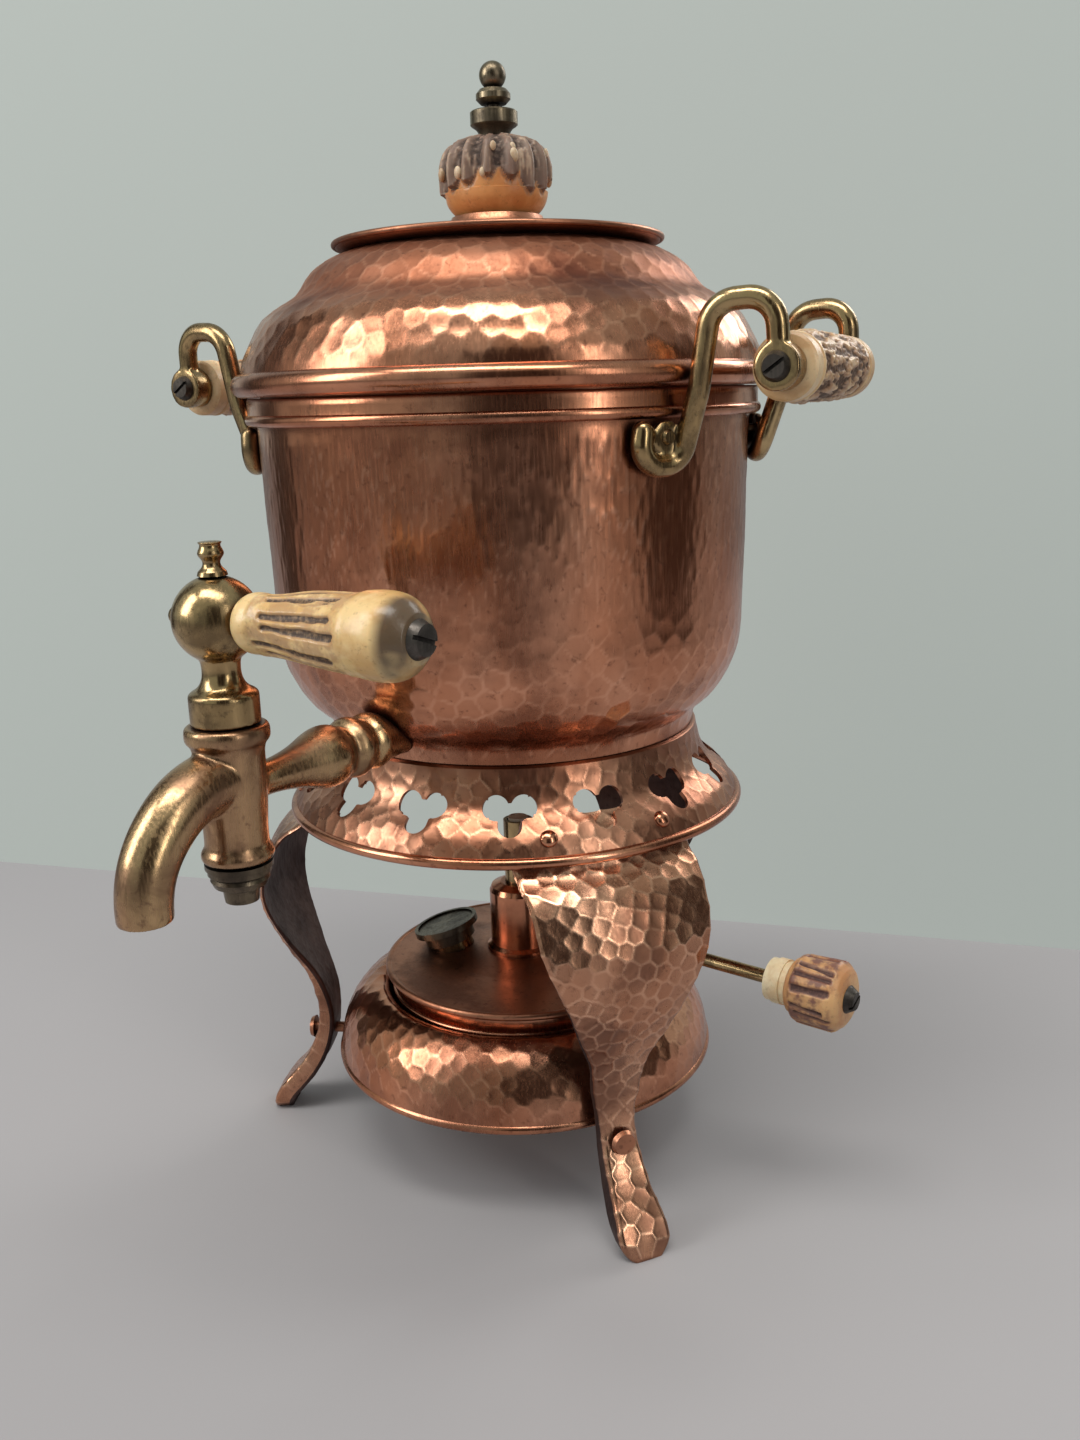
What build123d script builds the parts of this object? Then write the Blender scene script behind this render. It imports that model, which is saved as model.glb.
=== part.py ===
from build123d import *

import os
from math import cos, pi, radians, sin, sqrt

os.makedirs("parts", exist_ok=True)

# Spirit urn in millimetres: a hammered copper urn that stands on a pierced gallery with three legs,
# over a wick burner. +Z is up, the origin is on the urn's axis at the height of the table, and the
# tap looks along -Y. An azimuth is counted from the tap's side, towards +X.

# Sheet, fits and gaps
copper_wall = 1.2
seat_gap = 0.3
close_gap = 0.1
tab_gap = 0.25
running_fit = 0.05

# Stand
stand_height = 158.0
gallery_top_radius = 64.6
gallery_rim_radius = 79.2
gallery_rim_height = 131.3
gallery_bead = 1.8
gallery_wall = 1.3
gallery_mouth_radius = 56.0
trefoil_count = 15
trefoil_lobe = 4.2
trefoil_spread = 4.4
trefoil_drop = 6.2
trefoil_stem = 3.8
trefoil_turn = 33.0
trefoil_tilt = 30.0
leg_count = 3
leg_turn = 57.0
leg_sheet = 1.6
leg_foot_thickness = 7.2
leg_belly_radius = 94.8
leg_ankle_radius = 79.3
leg_foot_radius = 100.4
leg_ankle_height = 43.0
leg_ankle_width = 13.4
leg_top_width = 61.0
leg_foot_width = 17.6
rivet_spread = 15.0
rivet_head_radius = 2.7
rivet_head_height = 1.5
rivet_shank_radius = 1.5
rivet_place = 0.78

# Dish that holds the burner
dish_rim_radius = 68.5
dish_rim_height = 33.4
dish_bead = 1.7
dish_crest_height = 58.8
dish_floor_height = 40.0
recess_clearance = 1.4
stud_radius = 2.0
stud_head_radius = 4.3
stud_head_height = 1.5
stud_head_gap = 0.8

# Burner
reservoir_radius = 48.5
reservoir_height = 23.0
reservoir_wall = 1.1
reservoir_bead = 1.0
burner_lip = 1.35
burner_plate_rise = 4.3
burner_hole_radius = 9.0
wick_housing_radius = 11.4
wick_housing_height = 26.0
wick_flange_radius = 12.8
wick_guide_radius = 5.4
wick_guide_bore = 4.0
wick_guide_top = 119.0
wick_radius = 3.6
wick_length = 74.0
wick_stand_out = 1.0
pinion_radius = 2.6
pinion_teeth = 8
pinion_width = 3.0
regulator_height = 80.0
regulator_azimuth = 86.0
regulator_rod_radius = 2.35
regulator_spindle_radius = 1.3
regulator_collar_start = 101.0
regulator_collar_length = 8.0
regulator_collar_radius = 7.6
regulator_knob_length = 19.0
regulator_knob_radius = 11.4
regulator_flutes = 14
filler_azimuth = -68.0
filler_radius = 26.5
filler_tilt = 16.0
filler_neck_radius = 8.0
filler_neck_bore = 6.6
filler_neck_height = 9.0
filler_cap_radius = 12.2

# Urn
foot_radius = 63.5
belly_radius = 80.4
belly_height = 35.0
body_radius = 82.2
body_height = 104.0
collar_radius = 85.0
collar_height = 8.7
collar_rib = 1.9
foot_step_radius = 55.2
foot_step_depth = 2.0

# Lids
dome_bead = 3.7
dome_bead_reach = 86.0
dome_height = 44.6
dome_base_radius = 86.3
dome_opening_radius = 47.5
dome_skirt_depth = 8.0
dome_skirt_clearance = 0.5
small_lid_radius = 53.6
small_lid_rim = 0.9
small_lid_plug_depth = 6.0
small_lid_clearance = 0.6
hub_radius = 14.8
hub_height = 8.3
burr_radius = 17.4
burr_height = 24.0
burr_pearls = 14
burr_pearl_radius = 2.4
finial_stud_radius = 2.0
finial_disc_radius = 7.65
finial_upper_radius = 5.55
finial_ball_radius = 4.3
finial_height = 22.6

# Carrying handles
handle_turn = 94.5
handle_reach = 108.3
handle_grip_height = 275.5
handle_half_span = 34.0
handle_arch_height = 294.5
handle_rod_radius = 3.25
handle_curl_low = 249.0
boss_radius = 6.7
boss_length = 7.4
curl_plate_radius = 4.8
grip_radius = 10.0
grip_rod_radius = 2.5
handle_screw_radius = 4.2

# Tap
tap_reach = 135.0
tap_shank_height = 168.0
tap_wall_step = 5.4
shank_thread_length = 24.0
back_nut_height = 4.9
back_nut_radius = 9.5
shank_thread_radius = 5.9
shank_bore = 3.5
gasket_radius = 7.2
barrel_bottom = 148.0
barrel_top = 186.5
barrel_radius = 9.6
barrel_waist_radius = 8.8
plug_radius = 7.0
plug_port = 4.0
plug_ring_radius = 9.4
plug_ring_height = 9.0
spout_drop_radius = 29.0
spout_root_rise = 4.0
spout_root_radius = 8.8
spout_end_radius = 7.3
spout_bore = 5.4
spout_tail = 1.6
ball_radius = 11.75
ball_height = 215.0
lever_rod_radius = 2.5
lever_length = 70.0
lever_grip_start = 12.6


def spot(azimuth, radius, height=0.0):
    """Point at a radius and a height; azimuth 0 is the tap's side."""
    turn = radians(azimuth)
    return Vector(radius * sin(turn), -radius * cos(turn), height)


def facing(azimuth, radius=0.0, height=0.0, rise=0.0):
    """Plane that looks outward at an azimuth, its x sideways, tipped up by rise degrees."""
    turn, tip = radians(azimuth), radians(rise)
    outward = Vector(cos(tip) * sin(turn), -cos(tip) * cos(turn), sin(tip))
    return Plane(spot(azimuth, radius, height), x_dir=(cos(turn), sin(turn), 0), z_dir=outward)


def upright(azimuth):
    """Half plane through the axis, its x the radius and its y the height."""
    turn = radians(azimuth)
    return Plane((0, 0, 0), x_dir=(sin(turn), -cos(turn), 0), z_dir=(-cos(turn), -sin(turn), 0))


def stretch(start, end, shape):
    """Points between two ends, each given by its share of the way across and of the way up."""
    across, up = end[0] - start[0], end[1] - start[1]
    inner = [(start[0] + across * a, start[1] + up * b) for a, b in shape]
    return [start] + inner + [end]


def beside(line, distance, count=14, first=0.0, last=1.0):
    """Points at a distance to the right of a flat line; the distance may depend on the place."""
    points = []
    for step in range(count + 1):
        share = first + (last - first) * step / count
        place, way = line @ share, line % share
        gap = distance(place.Y) if callable(distance) else distance
        points.append((place.X + way.Y * gap, place.Y - way.X * gap))
    return points


def strip(outline, thickness):
    """Section of a sheet whose outer line passes through points and whose metal lies to its right."""
    with BuildSketch() as section:
        with BuildLine():
            skin = Spline(*outline)
            lining = Spline(*beside(skin, thickness))
            Line(skin @ 0, lining @ 0)
            Line(skin @ 1, lining @ 1)
        make_face()
    return section.sketch


def ring_section(*points):
    """Closed section through corner points."""
    with BuildSketch() as section:
        with BuildLine():
            Polyline(*points, close=True)
        make_face()
    return section.sketch


def box_section(inner, outer, low, high):
    """Section of a plain ring, from its two radii and two heights."""
    return ring_section((inner, low), (outer, low), (outer, high), (inner, high))


def finish(part, name):
    """Name a finished piece and write its file."""
    part.label = name
    export_step(part, f"parts/{name}.step")


# Heights and outlines that several pieces share
gallery_shape = ((0.076, 0.224), (0.222, 0.449), (0.486, 0.612), (0.79, 0.776))
gallery_outline = stretch(
    (gallery_top_radius, stand_height),
    (gallery_rim_radius + 0.2, gallery_rim_height + 0.45 * gallery_bead),
    gallery_shape,
)
with BuildLine() as gallery_line:
    gallery_skin = Spline(*gallery_outline[::-1])
trefoil_radius, trefoil_height = gallery_outline[2][0], gallery_outline[2][1] - 0.8
leg_azimuths = [leg_turn + 360 / leg_count * (k - 1) for k in range(leg_count)]
rivet_spot = gallery_skin @ (1 - rivet_place)
rivet_way = gallery_skin % (1 - rivet_place)


def rivet_planes(azimuths):
    """Planes on the gallery's skin, two beside the middle of each leg, that look away from the sheet."""
    planes = []
    for leg_azimuth in azimuths:
        for side in (-1, 1):
            azimuth = leg_azimuth + side * rivet_spread
            turn = radians(azimuth)
            outward = Vector(rivet_way.Y * sin(turn), -rivet_way.Y * cos(turn), -rivet_way.X)
            planes.append(Plane(spot(azimuth, rivet_spot.X, rivet_spot.Y), z_dir=outward))
    return planes


# Gallery: the pierced skirt with a rolled rim that carries the urn
with BuildPart() as gallery:
    with BuildSketch(Plane.XZ):
        add(strip(gallery_outline[::-1], -gallery_wall))
        add(box_section(gallery_mouth_radius, gallery_top_radius, stand_height - gallery_wall, stand_height))
        with Locations((gallery_rim_radius, gallery_rim_height)):
            Circle(gallery_bead)
    revolve(axis=Axis.Z)
    for k in range(trefoil_count):
        azimuth = trefoil_turn + 360 / trefoil_count * k
        with BuildSketch(facing(azimuth, trefoil_radius, trefoil_height, trefoil_tilt)):
            with Locations((-trefoil_spread, 0), (trefoil_spread, 0)):
                Circle(trefoil_lobe)
            with Locations((0, -trefoil_drop)):
                Circle(trefoil_stem)
            with Locations((0, -trefoil_drop / 2)):
                Rectangle(2 * trefoil_stem, trefoil_drop)
        extrude(amount=6 * gallery_wall, both=True, mode=Mode.SUBTRACT)
    for plane in rivet_planes(leg_azimuths):
        with BuildSketch(plane):
            Circle(rivet_shank_radius + running_fit)
        extrude(amount=3 * gallery_wall, both=True, mode=Mode.SUBTRACT)
finish(gallery.part, "gallery")

# Legs: cabriole blades of copper sheet that thicken into a bar at the ankle and foot
tab_points = beside(gallery_skin, -(gallery_wall + tab_gap), 4, 0.5, 0.14)
belly_reach = leg_belly_radius - gallery_rim_radius
leg_knee_height = gallery_rim_height - 32.0
leg_rise = leg_knee_height - leg_ankle_height
leg_line_points = tab_points + [
    (gallery_rim_radius - gallery_bead - 0.6, gallery_rim_height + 0.3),
    (gallery_rim_radius - 1.2, gallery_rim_height - gallery_bead - 1.6),
    (gallery_rim_radius + 0.33 * belly_reach, gallery_rim_height - 8.5),
    (gallery_rim_radius + 0.80 * belly_reach, gallery_rim_height - 19.5),
    (leg_belly_radius, leg_knee_height),
    (leg_ankle_radius + 0.84 * (leg_belly_radius - leg_ankle_radius), leg_ankle_height + 0.73 * leg_rise),
    (leg_ankle_radius + 0.42 * (leg_belly_radius - leg_ankle_radius), leg_ankle_height + 0.44 * leg_rise),
    (leg_ankle_radius + 0.09 * (leg_belly_radius - leg_ankle_radius), leg_ankle_height + 0.19 * leg_rise),
    (leg_ankle_radius, leg_ankle_height),
    (leg_ankle_radius + 0.12 * (leg_foot_radius - leg_ankle_radius), leg_ankle_height * 0.70),
    (leg_ankle_radius + 0.50 * (leg_foot_radius - leg_ankle_radius), leg_ankle_height * 0.40),
    (leg_foot_radius - 1.8, leg_ankle_height * 0.14),
    (leg_foot_radius, 0.0),
    (leg_foot_radius - 1.5, -leg_ankle_height * 0.10),
]
leg_half_widths = (
    (stand_height - 15.5, 0.78 * leg_top_width / 2),
    (gallery_rim_height, leg_top_width / 2),
    (gallery_rim_height - 13, 0.99 * leg_top_width / 2),
    (gallery_rim_height - 25, 0.96 * leg_top_width / 2),
    (gallery_rim_height - 36, 0.84 * leg_top_width / 2),
    (leg_ankle_height + 40, 0.66 * leg_top_width / 2),
    (leg_ankle_height + 28, 0.49 * leg_top_width / 2),
    (leg_ankle_height + 16, 0.32 * leg_top_width / 2),
    (leg_ankle_height + 7, 0.62 * leg_ankle_width),
    (leg_ankle_height - 2, leg_ankle_width / 2),
    (leg_ankle_height * 0.65, 0.50 * leg_ankle_width),
    (leg_ankle_height * 0.40, 0.43 * leg_foot_width),
    (leg_ankle_height * 0.20, leg_foot_width / 2),
    (leg_ankle_height * 0.08, 0.93 * leg_foot_width / 2),
    (0.0, 0.62 * leg_foot_width / 2),
)
stud_height = dish_rim_height - 1.0


def leg_thickness(height):
    """Thickness of a leg at a height: sheet at the top, a bar from the ankle down."""
    share = min(max((leg_knee_height - height) / (leg_knee_height - 12.0), 0.0), 1.0)
    return leg_sheet + (leg_foot_thickness - leg_sheet) * share * share * (3 - 2 * share)


leg_sweep = 48.0
with BuildPart() as leg:
    with BuildSketch(upright(-leg_sweep / 2)):
        with BuildLine():
            front = Spline(*leg_line_points)
            back = Spline(*beside(front, leg_thickness, 26))
            Line(front @ 0, back @ 0)
            Line(front @ 1, back @ 1)
        make_face()
    revolve(axis=Axis.Z, revolution_arc=leg_sweep)
    with BuildSketch(facing(0, 0.5 * gallery_rim_radius)):
        with BuildLine():
            right = Spline(*[(half, height) for height, half in leg_half_widths])
            left = Spline(*[(-half, height) for height, half in leg_half_widths])
            Line(right @ 0, left @ 0)
            Line(right @ 1, left @ 1)
        make_face()
    extrude(amount=leg_foot_radius, mode=Mode.INTERSECT)
    with BuildSketch(facing(0, dish_rim_radius, stud_height)):
        Circle(stud_radius + running_fit)
    extrude(amount=leg_foot_radius - dish_rim_radius, mode=Mode.SUBTRACT)
    for plane in rivet_planes([0]):
        with BuildSketch(plane):
            Circle(rivet_shank_radius + running_fit)
        extrude(amount=4 * gallery_wall, both=True, mode=Mode.SUBTRACT)

leg_names = ("leg_left", "leg_right", "leg_back")
for name, azimuth in zip(leg_names, leg_azimuths):
    finish(leg.part.rotate(Axis.Z, azimuth), name)

# Rivets that hold the legs to the gallery, headed on both sides
with BuildPart() as gallery_rivets:
    grip = gallery_wall + tab_gap + leg_sheet
    for plane in rivet_planes(leg_azimuths):
        with BuildSketch(plane.offset(-grip - 1.3)):
            Circle(rivet_shank_radius)
        extrude(amount=grip + 1.3 + 0.6 * rivet_head_height)
        with BuildSketch(plane.offset(0.25)):
            Circle(rivet_head_radius)
        extrude(amount=rivet_head_height, taper=38)
        with BuildSketch(plane.offset(-grip - 1.5)):
            Circle(1.5 * rivet_shank_radius)
        extrude(amount=0.9)
finish(gallery_rivets.part, "gallery_rivets")

# Dish: a domed ring with a rolled rim and a cup in its middle for the burner
recess_radius = reservoir_radius + recess_clearance
dish_lip = (recess_radius, dish_crest_height - 4.4)
dish_span = dish_rim_radius - recess_radius
dish_drop = dish_crest_height - dish_rim_height
dish_outline = [
    dish_lip,
    (recess_radius + 0.055 * dish_span, dish_crest_height - 0.05 * dish_drop),
    (recess_radius + 0.18 * dish_span, dish_crest_height),
    (recess_radius + 0.40 * dish_span, dish_crest_height - 0.055 * dish_drop),
    (recess_radius + 0.64 * dish_span, dish_crest_height - 0.19 * dish_drop),
    (recess_radius + 0.84 * dish_span, dish_crest_height - 0.39 * dish_drop),
    (recess_radius + 0.98 * dish_span, dish_crest_height - 0.63 * dish_drop),
    (dish_rim_radius + 0.9, dish_rim_height + 0.25 * dish_bead),
]
with BuildPart() as dish:
    with BuildSketch(Plane.XZ):
        add(strip(dish_outline, copper_wall))
        add(box_section(recess_radius, recess_radius + copper_wall,
                        dish_floor_height - copper_wall, dish_lip[1] + 1.0))
        add(box_section(0, recess_radius + 0.5 * copper_wall,
                        dish_floor_height - copper_wall, dish_floor_height))
        with Locations((dish_rim_radius, dish_rim_height)):
            Circle(dish_bead)
    revolve(axis=Axis.Z)
finish(dish.part, "dish")

# Studs that tie the dish's rim to the legs, with round heads outside
stud_out = leg_ankle_radius + 0.12 * (leg_foot_radius - leg_ankle_radius)
with BuildPart() as dish_studs:
    for azimuth in leg_azimuths:
        foot_plane = facing(azimuth, dish_rim_radius + dish_bead + close_gap, stud_height)
        shank = stud_out - dish_rim_radius - dish_bead - close_gap
        with BuildSketch(foot_plane):
            Circle(stud_radius)
        extrude(amount=shank + stud_head_gap + 0.5 * stud_head_height)
        with BuildSketch(foot_plane.offset(shank + stud_head_gap)):
            Circle(stud_head_radius)
        extrude(amount=stud_head_height, taper=24)
finish(dish_studs.part, "dish_studs")

# Burner: spirit reservoir with its lipped top plate
burner_seat = dish_floor_height + seat_gap
reservoir_top = burner_seat + reservoir_height
lip_height = reservoir_top + burner_lip + close_gap
plate_top = lip_height + burner_plate_rise
with BuildPart() as burner_reservoir:
    with BuildSketch(Plane.XZ):
        add(box_section(reservoir_radius - reservoir_wall, reservoir_radius, burner_seat, reservoir_top))
        add(box_section(0, reservoir_radius, burner_seat, burner_seat + reservoir_wall))
        with Locations((reservoir_radius - 0.2, dish_crest_height - 1.6)):
            Circle(reservoir_bead)
    revolve(axis=Axis.Z)
finish(burner_reservoir.part, "burner_reservoir")

spigot_radius = reservoir_radius - reservoir_wall - close_gap
plate_flat = wick_flange_radius + 1.2
with BuildPart() as burner_top:
    with BuildSketch(Plane.XZ):
        add(ring_section(
            (burner_hole_radius, plate_top - reservoir_wall),
            (plate_flat, plate_top - reservoir_wall),
            (0.55 * reservoir_radius, lip_height + 0.62 * burner_plate_rise - reservoir_wall),
            (reservoir_radius + 1.2, lip_height - 0.2),
            (reservoir_radius + 1.2, lip_height + 1.0),
            (0.55 * reservoir_radius, lip_height + 0.62 * burner_plate_rise),
            (plate_flat, plate_top),
            (burner_hole_radius, plate_top),
        ))
        with Locations((reservoir_radius + burner_lip + 0.1, lip_height)):
            Circle(burner_lip)
        add(box_section(spigot_radius - reservoir_wall, spigot_radius, reservoir_top - 3.5, lip_height + 0.6))
    revolve(axis=Axis.Z)
    filler_plane = Plane(
        spot(filler_azimuth, filler_radius, plate_top - 3.6),
        z_dir=spot(filler_azimuth, sin(radians(filler_tilt)), cos(radians(filler_tilt))),
    )
    with BuildSketch(filler_plane):
        Circle(filler_neck_radius + running_fit)
    extrude(amount=6, both=True, mode=Mode.SUBTRACT)
finish(burner_top.part, "burner_top")

# Filler: a tilted neck and its flanged cap
with BuildPart() as filler_neck:
    with BuildSketch(filler_plane):
        Circle(filler_neck_radius)
        Circle(filler_neck_bore, mode=Mode.SUBTRACT)
    extrude(amount=filler_neck_height)
finish(filler_neck.part, "filler_neck")

cap_under = filler_neck_height + seat_gap
with BuildPart() as filler_cap:
    with BuildSketch(filler_plane.offset(cap_under)):
        Circle(filler_cap_radius)
    extrude(amount=1.7)
    with BuildSketch(filler_plane.offset(cap_under + 1.7)):
        Circle(filler_cap_radius)
        Circle(filler_cap_radius - 1.4, mode=Mode.SUBTRACT)
    extrude(amount=0.7)
    with BuildSketch(filler_plane.offset(cap_under - 4.6)):
        Circle(filler_neck_radius + seat_gap + 1.2)
        Circle(filler_neck_radius + seat_gap, mode=Mode.SUBTRACT)
    extrude(amount=4.8)
finish(filler_cap.part, "filler_cap")

# Wick housing: a closed tube on the plate with a side boss for the regulator's rod
regulator_offset = wick_radius + pinion_radius + 0.25
housing_foot = plate_top
housing_top = housing_foot + wick_housing_height
boss_end = wick_housing_radius + 2.4
rod_line = facing(regulator_azimuth, 0, regulator_height)
with BuildPart() as wick_housing:
    with BuildSketch(Plane.XZ):
        add(ring_section(
            (wick_housing_radius - 1.5, housing_foot),
            (wick_flange_radius, housing_foot),
            (wick_flange_radius, housing_foot + 1.4),
            (wick_housing_radius, housing_foot + 2.6),
            (wick_housing_radius, housing_top - 3.2),
            (wick_housing_radius - 0.8, housing_top - 1.4),
            (wick_guide_radius + 1.8, housing_top),
            (wick_guide_radius + running_fit, housing_top),
            (wick_guide_radius + running_fit, housing_top - 2.4),
            (wick_housing_radius - 1.5, housing_top - 3.4),
        ))
    revolve(axis=Axis.Z)
    with BuildSketch(rod_line.offset(4.5)):
        with Locations((regulator_offset, 0)):
            Circle(4.2)
    extrude(amount=boss_end - 4.5)
    with BuildSketch(rod_line):
        with Locations((regulator_offset, 0)):
            Circle(regulator_spindle_radius + running_fit)
    extrude(amount=boss_end + 1, mode=Mode.SUBTRACT)
    with BuildSketch(Plane.XZ):
        add(box_section(0, wick_housing_radius - 1.5, housing_foot, housing_top - 3.6))
    revolve(axis=Axis.Z, mode=Mode.SUBTRACT)
finish(wick_housing.part, "wick_housing")

with BuildPart() as wick_guide:
    with BuildSketch(Plane.XY.offset(burner_seat + 6)):
        Circle(wick_guide_radius)
        Circle(wick_guide_bore, mode=Mode.SUBTRACT)
    extrude(amount=wick_guide_top - burner_seat - 6)
    with BuildSketch(rod_line.offset(-0.5 * pinion_width - 0.4)):
        with Locations((regulator_offset, 0)):
            Rectangle(2 * pinion_radius + 1.0, 2 * pinion_radius + 1.0)
    extrude(amount=pinion_width + 0.8, mode=Mode.SUBTRACT)
finish(wick_guide.part, "wick_guide")

with BuildPart() as wick:
    with BuildSketch(Plane.XY.offset(wick_guide_top + wick_stand_out - wick_length)):
        Circle(wick_radius)
    extrude(amount=wick_length)
finish(wick.part, "wick")

# Regulator: rod with a toothed wheel beside the wick, a bone collar and an antler knob
knob_start = regulator_collar_start + regulator_collar_length + close_gap
knob_end = knob_start + regulator_knob_length
gland_end = boss_end + close_gap + 5.0
with BuildPart() as regulator_gland:
    with BuildSketch(rod_line.offset(boss_end + close_gap)):
        with Locations((regulator_offset, 0)):
            RegularPolygon(4.4, 6)
            Circle(regulator_rod_radius + running_fit, mode=Mode.SUBTRACT)
    extrude(amount=gland_end - boss_end - close_gap)
finish(regulator_gland.part, "regulator_gland")

with BuildPart() as regulator_rod:
    with BuildSketch(rod_line.offset(-0.5 * pinion_width - 2.0)):
        with Locations((regulator_offset, 0)):
            Circle(regulator_spindle_radius)
    extrude(amount=boss_end + 0.5 * pinion_width + 2.0 + 2 * close_gap)
    with BuildSketch(rod_line.offset(boss_end + close_gap)):
        with Locations((regulator_offset, 0)):
            Circle(regulator_rod_radius)
    extrude(amount=knob_end - 4.0 - boss_end)
finish(regulator_rod.part, "regulator_rod")

with BuildPart() as regulator_pinion:
    with BuildSketch(rod_line.offset(-0.5 * pinion_width)):
        with Locations((regulator_offset, 0)):
            Circle(0.72 * pinion_radius)
            with PolarLocations(0.70 * pinion_radius, pinion_teeth):
                Rectangle(0.6 * pinion_radius, 0.24 * pinion_radius)
            Circle(regulator_spindle_radius + 0.02, mode=Mode.SUBTRACT)
    extrude(amount=pinion_width)
finish(regulator_pinion.part, "regulator_pinion")

with BuildPart() as regulator_collar:
    with BuildSketch(rod_line.offset(regulator_collar_start)):
        with Locations((regulator_offset, 0)):
            Circle(regulator_collar_radius - 0.5)
            Circle(regulator_rod_radius + running_fit, mode=Mode.SUBTRACT)
    extrude(amount=regulator_collar_length)
    with BuildSketch(rod_line.offset(regulator_collar_start + 0.3 * regulator_collar_length)):
        with Locations((regulator_offset, 0)):
            Circle(regulator_collar_radius)
            Circle(regulator_rod_radius + running_fit, mode=Mode.SUBTRACT)
    extrude(amount=0.4 * regulator_collar_length)
finish(regulator_collar.part, "regulator_collar")

flute_radius = 0.14 * regulator_knob_radius
with BuildPart() as regulator_knob:
    with BuildSketch(rod_line.offset(knob_start)):
        with Locations((regulator_offset, 0)):
            Circle(0.80 * regulator_knob_radius)
    extrude(amount=regulator_knob_length)
    with BuildSketch(rod_line.offset(knob_start + 2.2)):
        with Locations((regulator_offset, 0)):
            Circle(regulator_knob_radius - 0.8)
            with PolarLocations(regulator_knob_radius - flute_radius, regulator_flutes):
                Circle(flute_radius)
    extrude(amount=regulator_knob_length - 4.2)
    with BuildSketch(rod_line.offset(knob_start)):
        with Locations((regulator_offset, 0)):
            Circle(regulator_rod_radius + running_fit)
    extrude(amount=regulator_knob_length, mode=Mode.SUBTRACT)
finish(regulator_knob.part, "regulator_knob")

regulator_axis = Axis(rod_line.origin + rod_line.x_dir * regulator_offset, rod_line.z_dir)
with BuildPart() as regulator_screw:
    with BuildSketch(rod_line.offset(knob_end - 3.8)):
        with Locations((regulator_offset, 0)):
            Circle(1.6)
    extrude(amount=4.5)
    with BuildSketch(rod_line.offset(knob_end + close_gap)):
        with Locations((regulator_offset, 0)):
            Circle(4.6)
    extrude(amount=2.6, taper=32)
    with BuildSketch(rod_line.offset(knob_end + close_gap + 1.5)):
        with Locations((regulator_offset, 0)):
            Rectangle(10, 1.1, rotation=25)
    extrude(amount=2, mode=Mode.SUBTRACT)
finish(regulator_screw.part, "regulator_screw")

# Urn body: a deep copper pot with a narrowed foot, a rib and a collar at the mouth
urn_base = stand_height + seat_gap
collar_low = urn_base + body_height
collar_top = collar_low + collar_height
belly_shape = ((0.095, 0.163), (0.385, 0.294), (0.64, 0.449), (0.81, 0.603), (0.93, 0.763))
belly_outline = stretch((foot_radius, urn_base), (belly_radius, urn_base + belly_height), belly_shape)
with BuildLine() as belly_line:
    belly_skin = Spline(*belly_outline)


def urn_section(inset):
    """Section of the urn's round form, drawn in from its outer skin by an inset."""
    with BuildSketch() as section:
        with BuildLine():
            belly = Spline(*beside(belly_skin, -inset, 12))
            radius = body_radius - inset
            low = (0, (belly @ 0).Y)
            Polyline(belly @ 1, (radius, collar_low), (radius, collar_top), (0, collar_top), low, belly @ 0)
        make_face()
    return section.sketch


tap_line = facing(0, 0, tap_shank_height)
tap_axis = Axis((0, -tap_reach, 0), (0, 0, 1))
handle_azimuths = (handle_turn, handle_turn - 180)
curl_radius = body_radius + handle_rod_radius + seat_gap
curl_side = handle_half_span + 6.5
curl_pin_height = handle_curl_low + 8.0


def curl_azimuth(side):
    """Turn of a bracket's curl from the handle's middle, to the given side."""
    return side * (curl_side / curl_radius) * 180 / pi


with BuildPart() as urn_body:
    with BuildSketch(Plane.XZ):
        add(urn_section(0))
        add(box_section(0, collar_radius, collar_low + collar_rib, collar_top))
        add(box_section(0, foot_step_radius, urn_base - foot_step_depth, urn_base + 0.5))
        with Locations((collar_radius - 0.9, collar_low + collar_rib)):
            Circle(collar_rib)
    revolve(axis=Axis.Z)
    with BuildSketch(Plane.XZ):
        with BuildLine():
            wall = Spline(*beside(belly_skin, -copper_wall, 12, 0.06, 1))
            floor_high = urn_base + copper_wall
            Polyline(
                wall @ 1, (body_radius - copper_wall, collar_low), (body_radius - copper_wall, collar_top + 1),
                (0, collar_top + 1),
                (0, floor_high - foot_step_depth), (foot_step_radius - copper_wall, floor_high - foot_step_depth),
                (foot_step_radius - copper_wall, floor_high), (foot_radius - 2.2, floor_high), wall @ 0,
            )
        make_face()
    revolve(axis=Axis.Z, mode=Mode.SUBTRACT)
    with BuildSketch(tap_line):
        Circle(shank_thread_radius + running_fit)
    extrude(amount=body_radius + 5, mode=Mode.SUBTRACT)
    for middle in handle_azimuths:
        for side in (-1, 1):
            with BuildSketch(facing(middle + curl_azimuth(side), body_radius - 8, curl_pin_height)):
                Circle(rivet_shank_radius + running_fit)
            extrude(amount=16, mode=Mode.SUBTRACT)
finish(urn_body.part, "urn_body")

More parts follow.
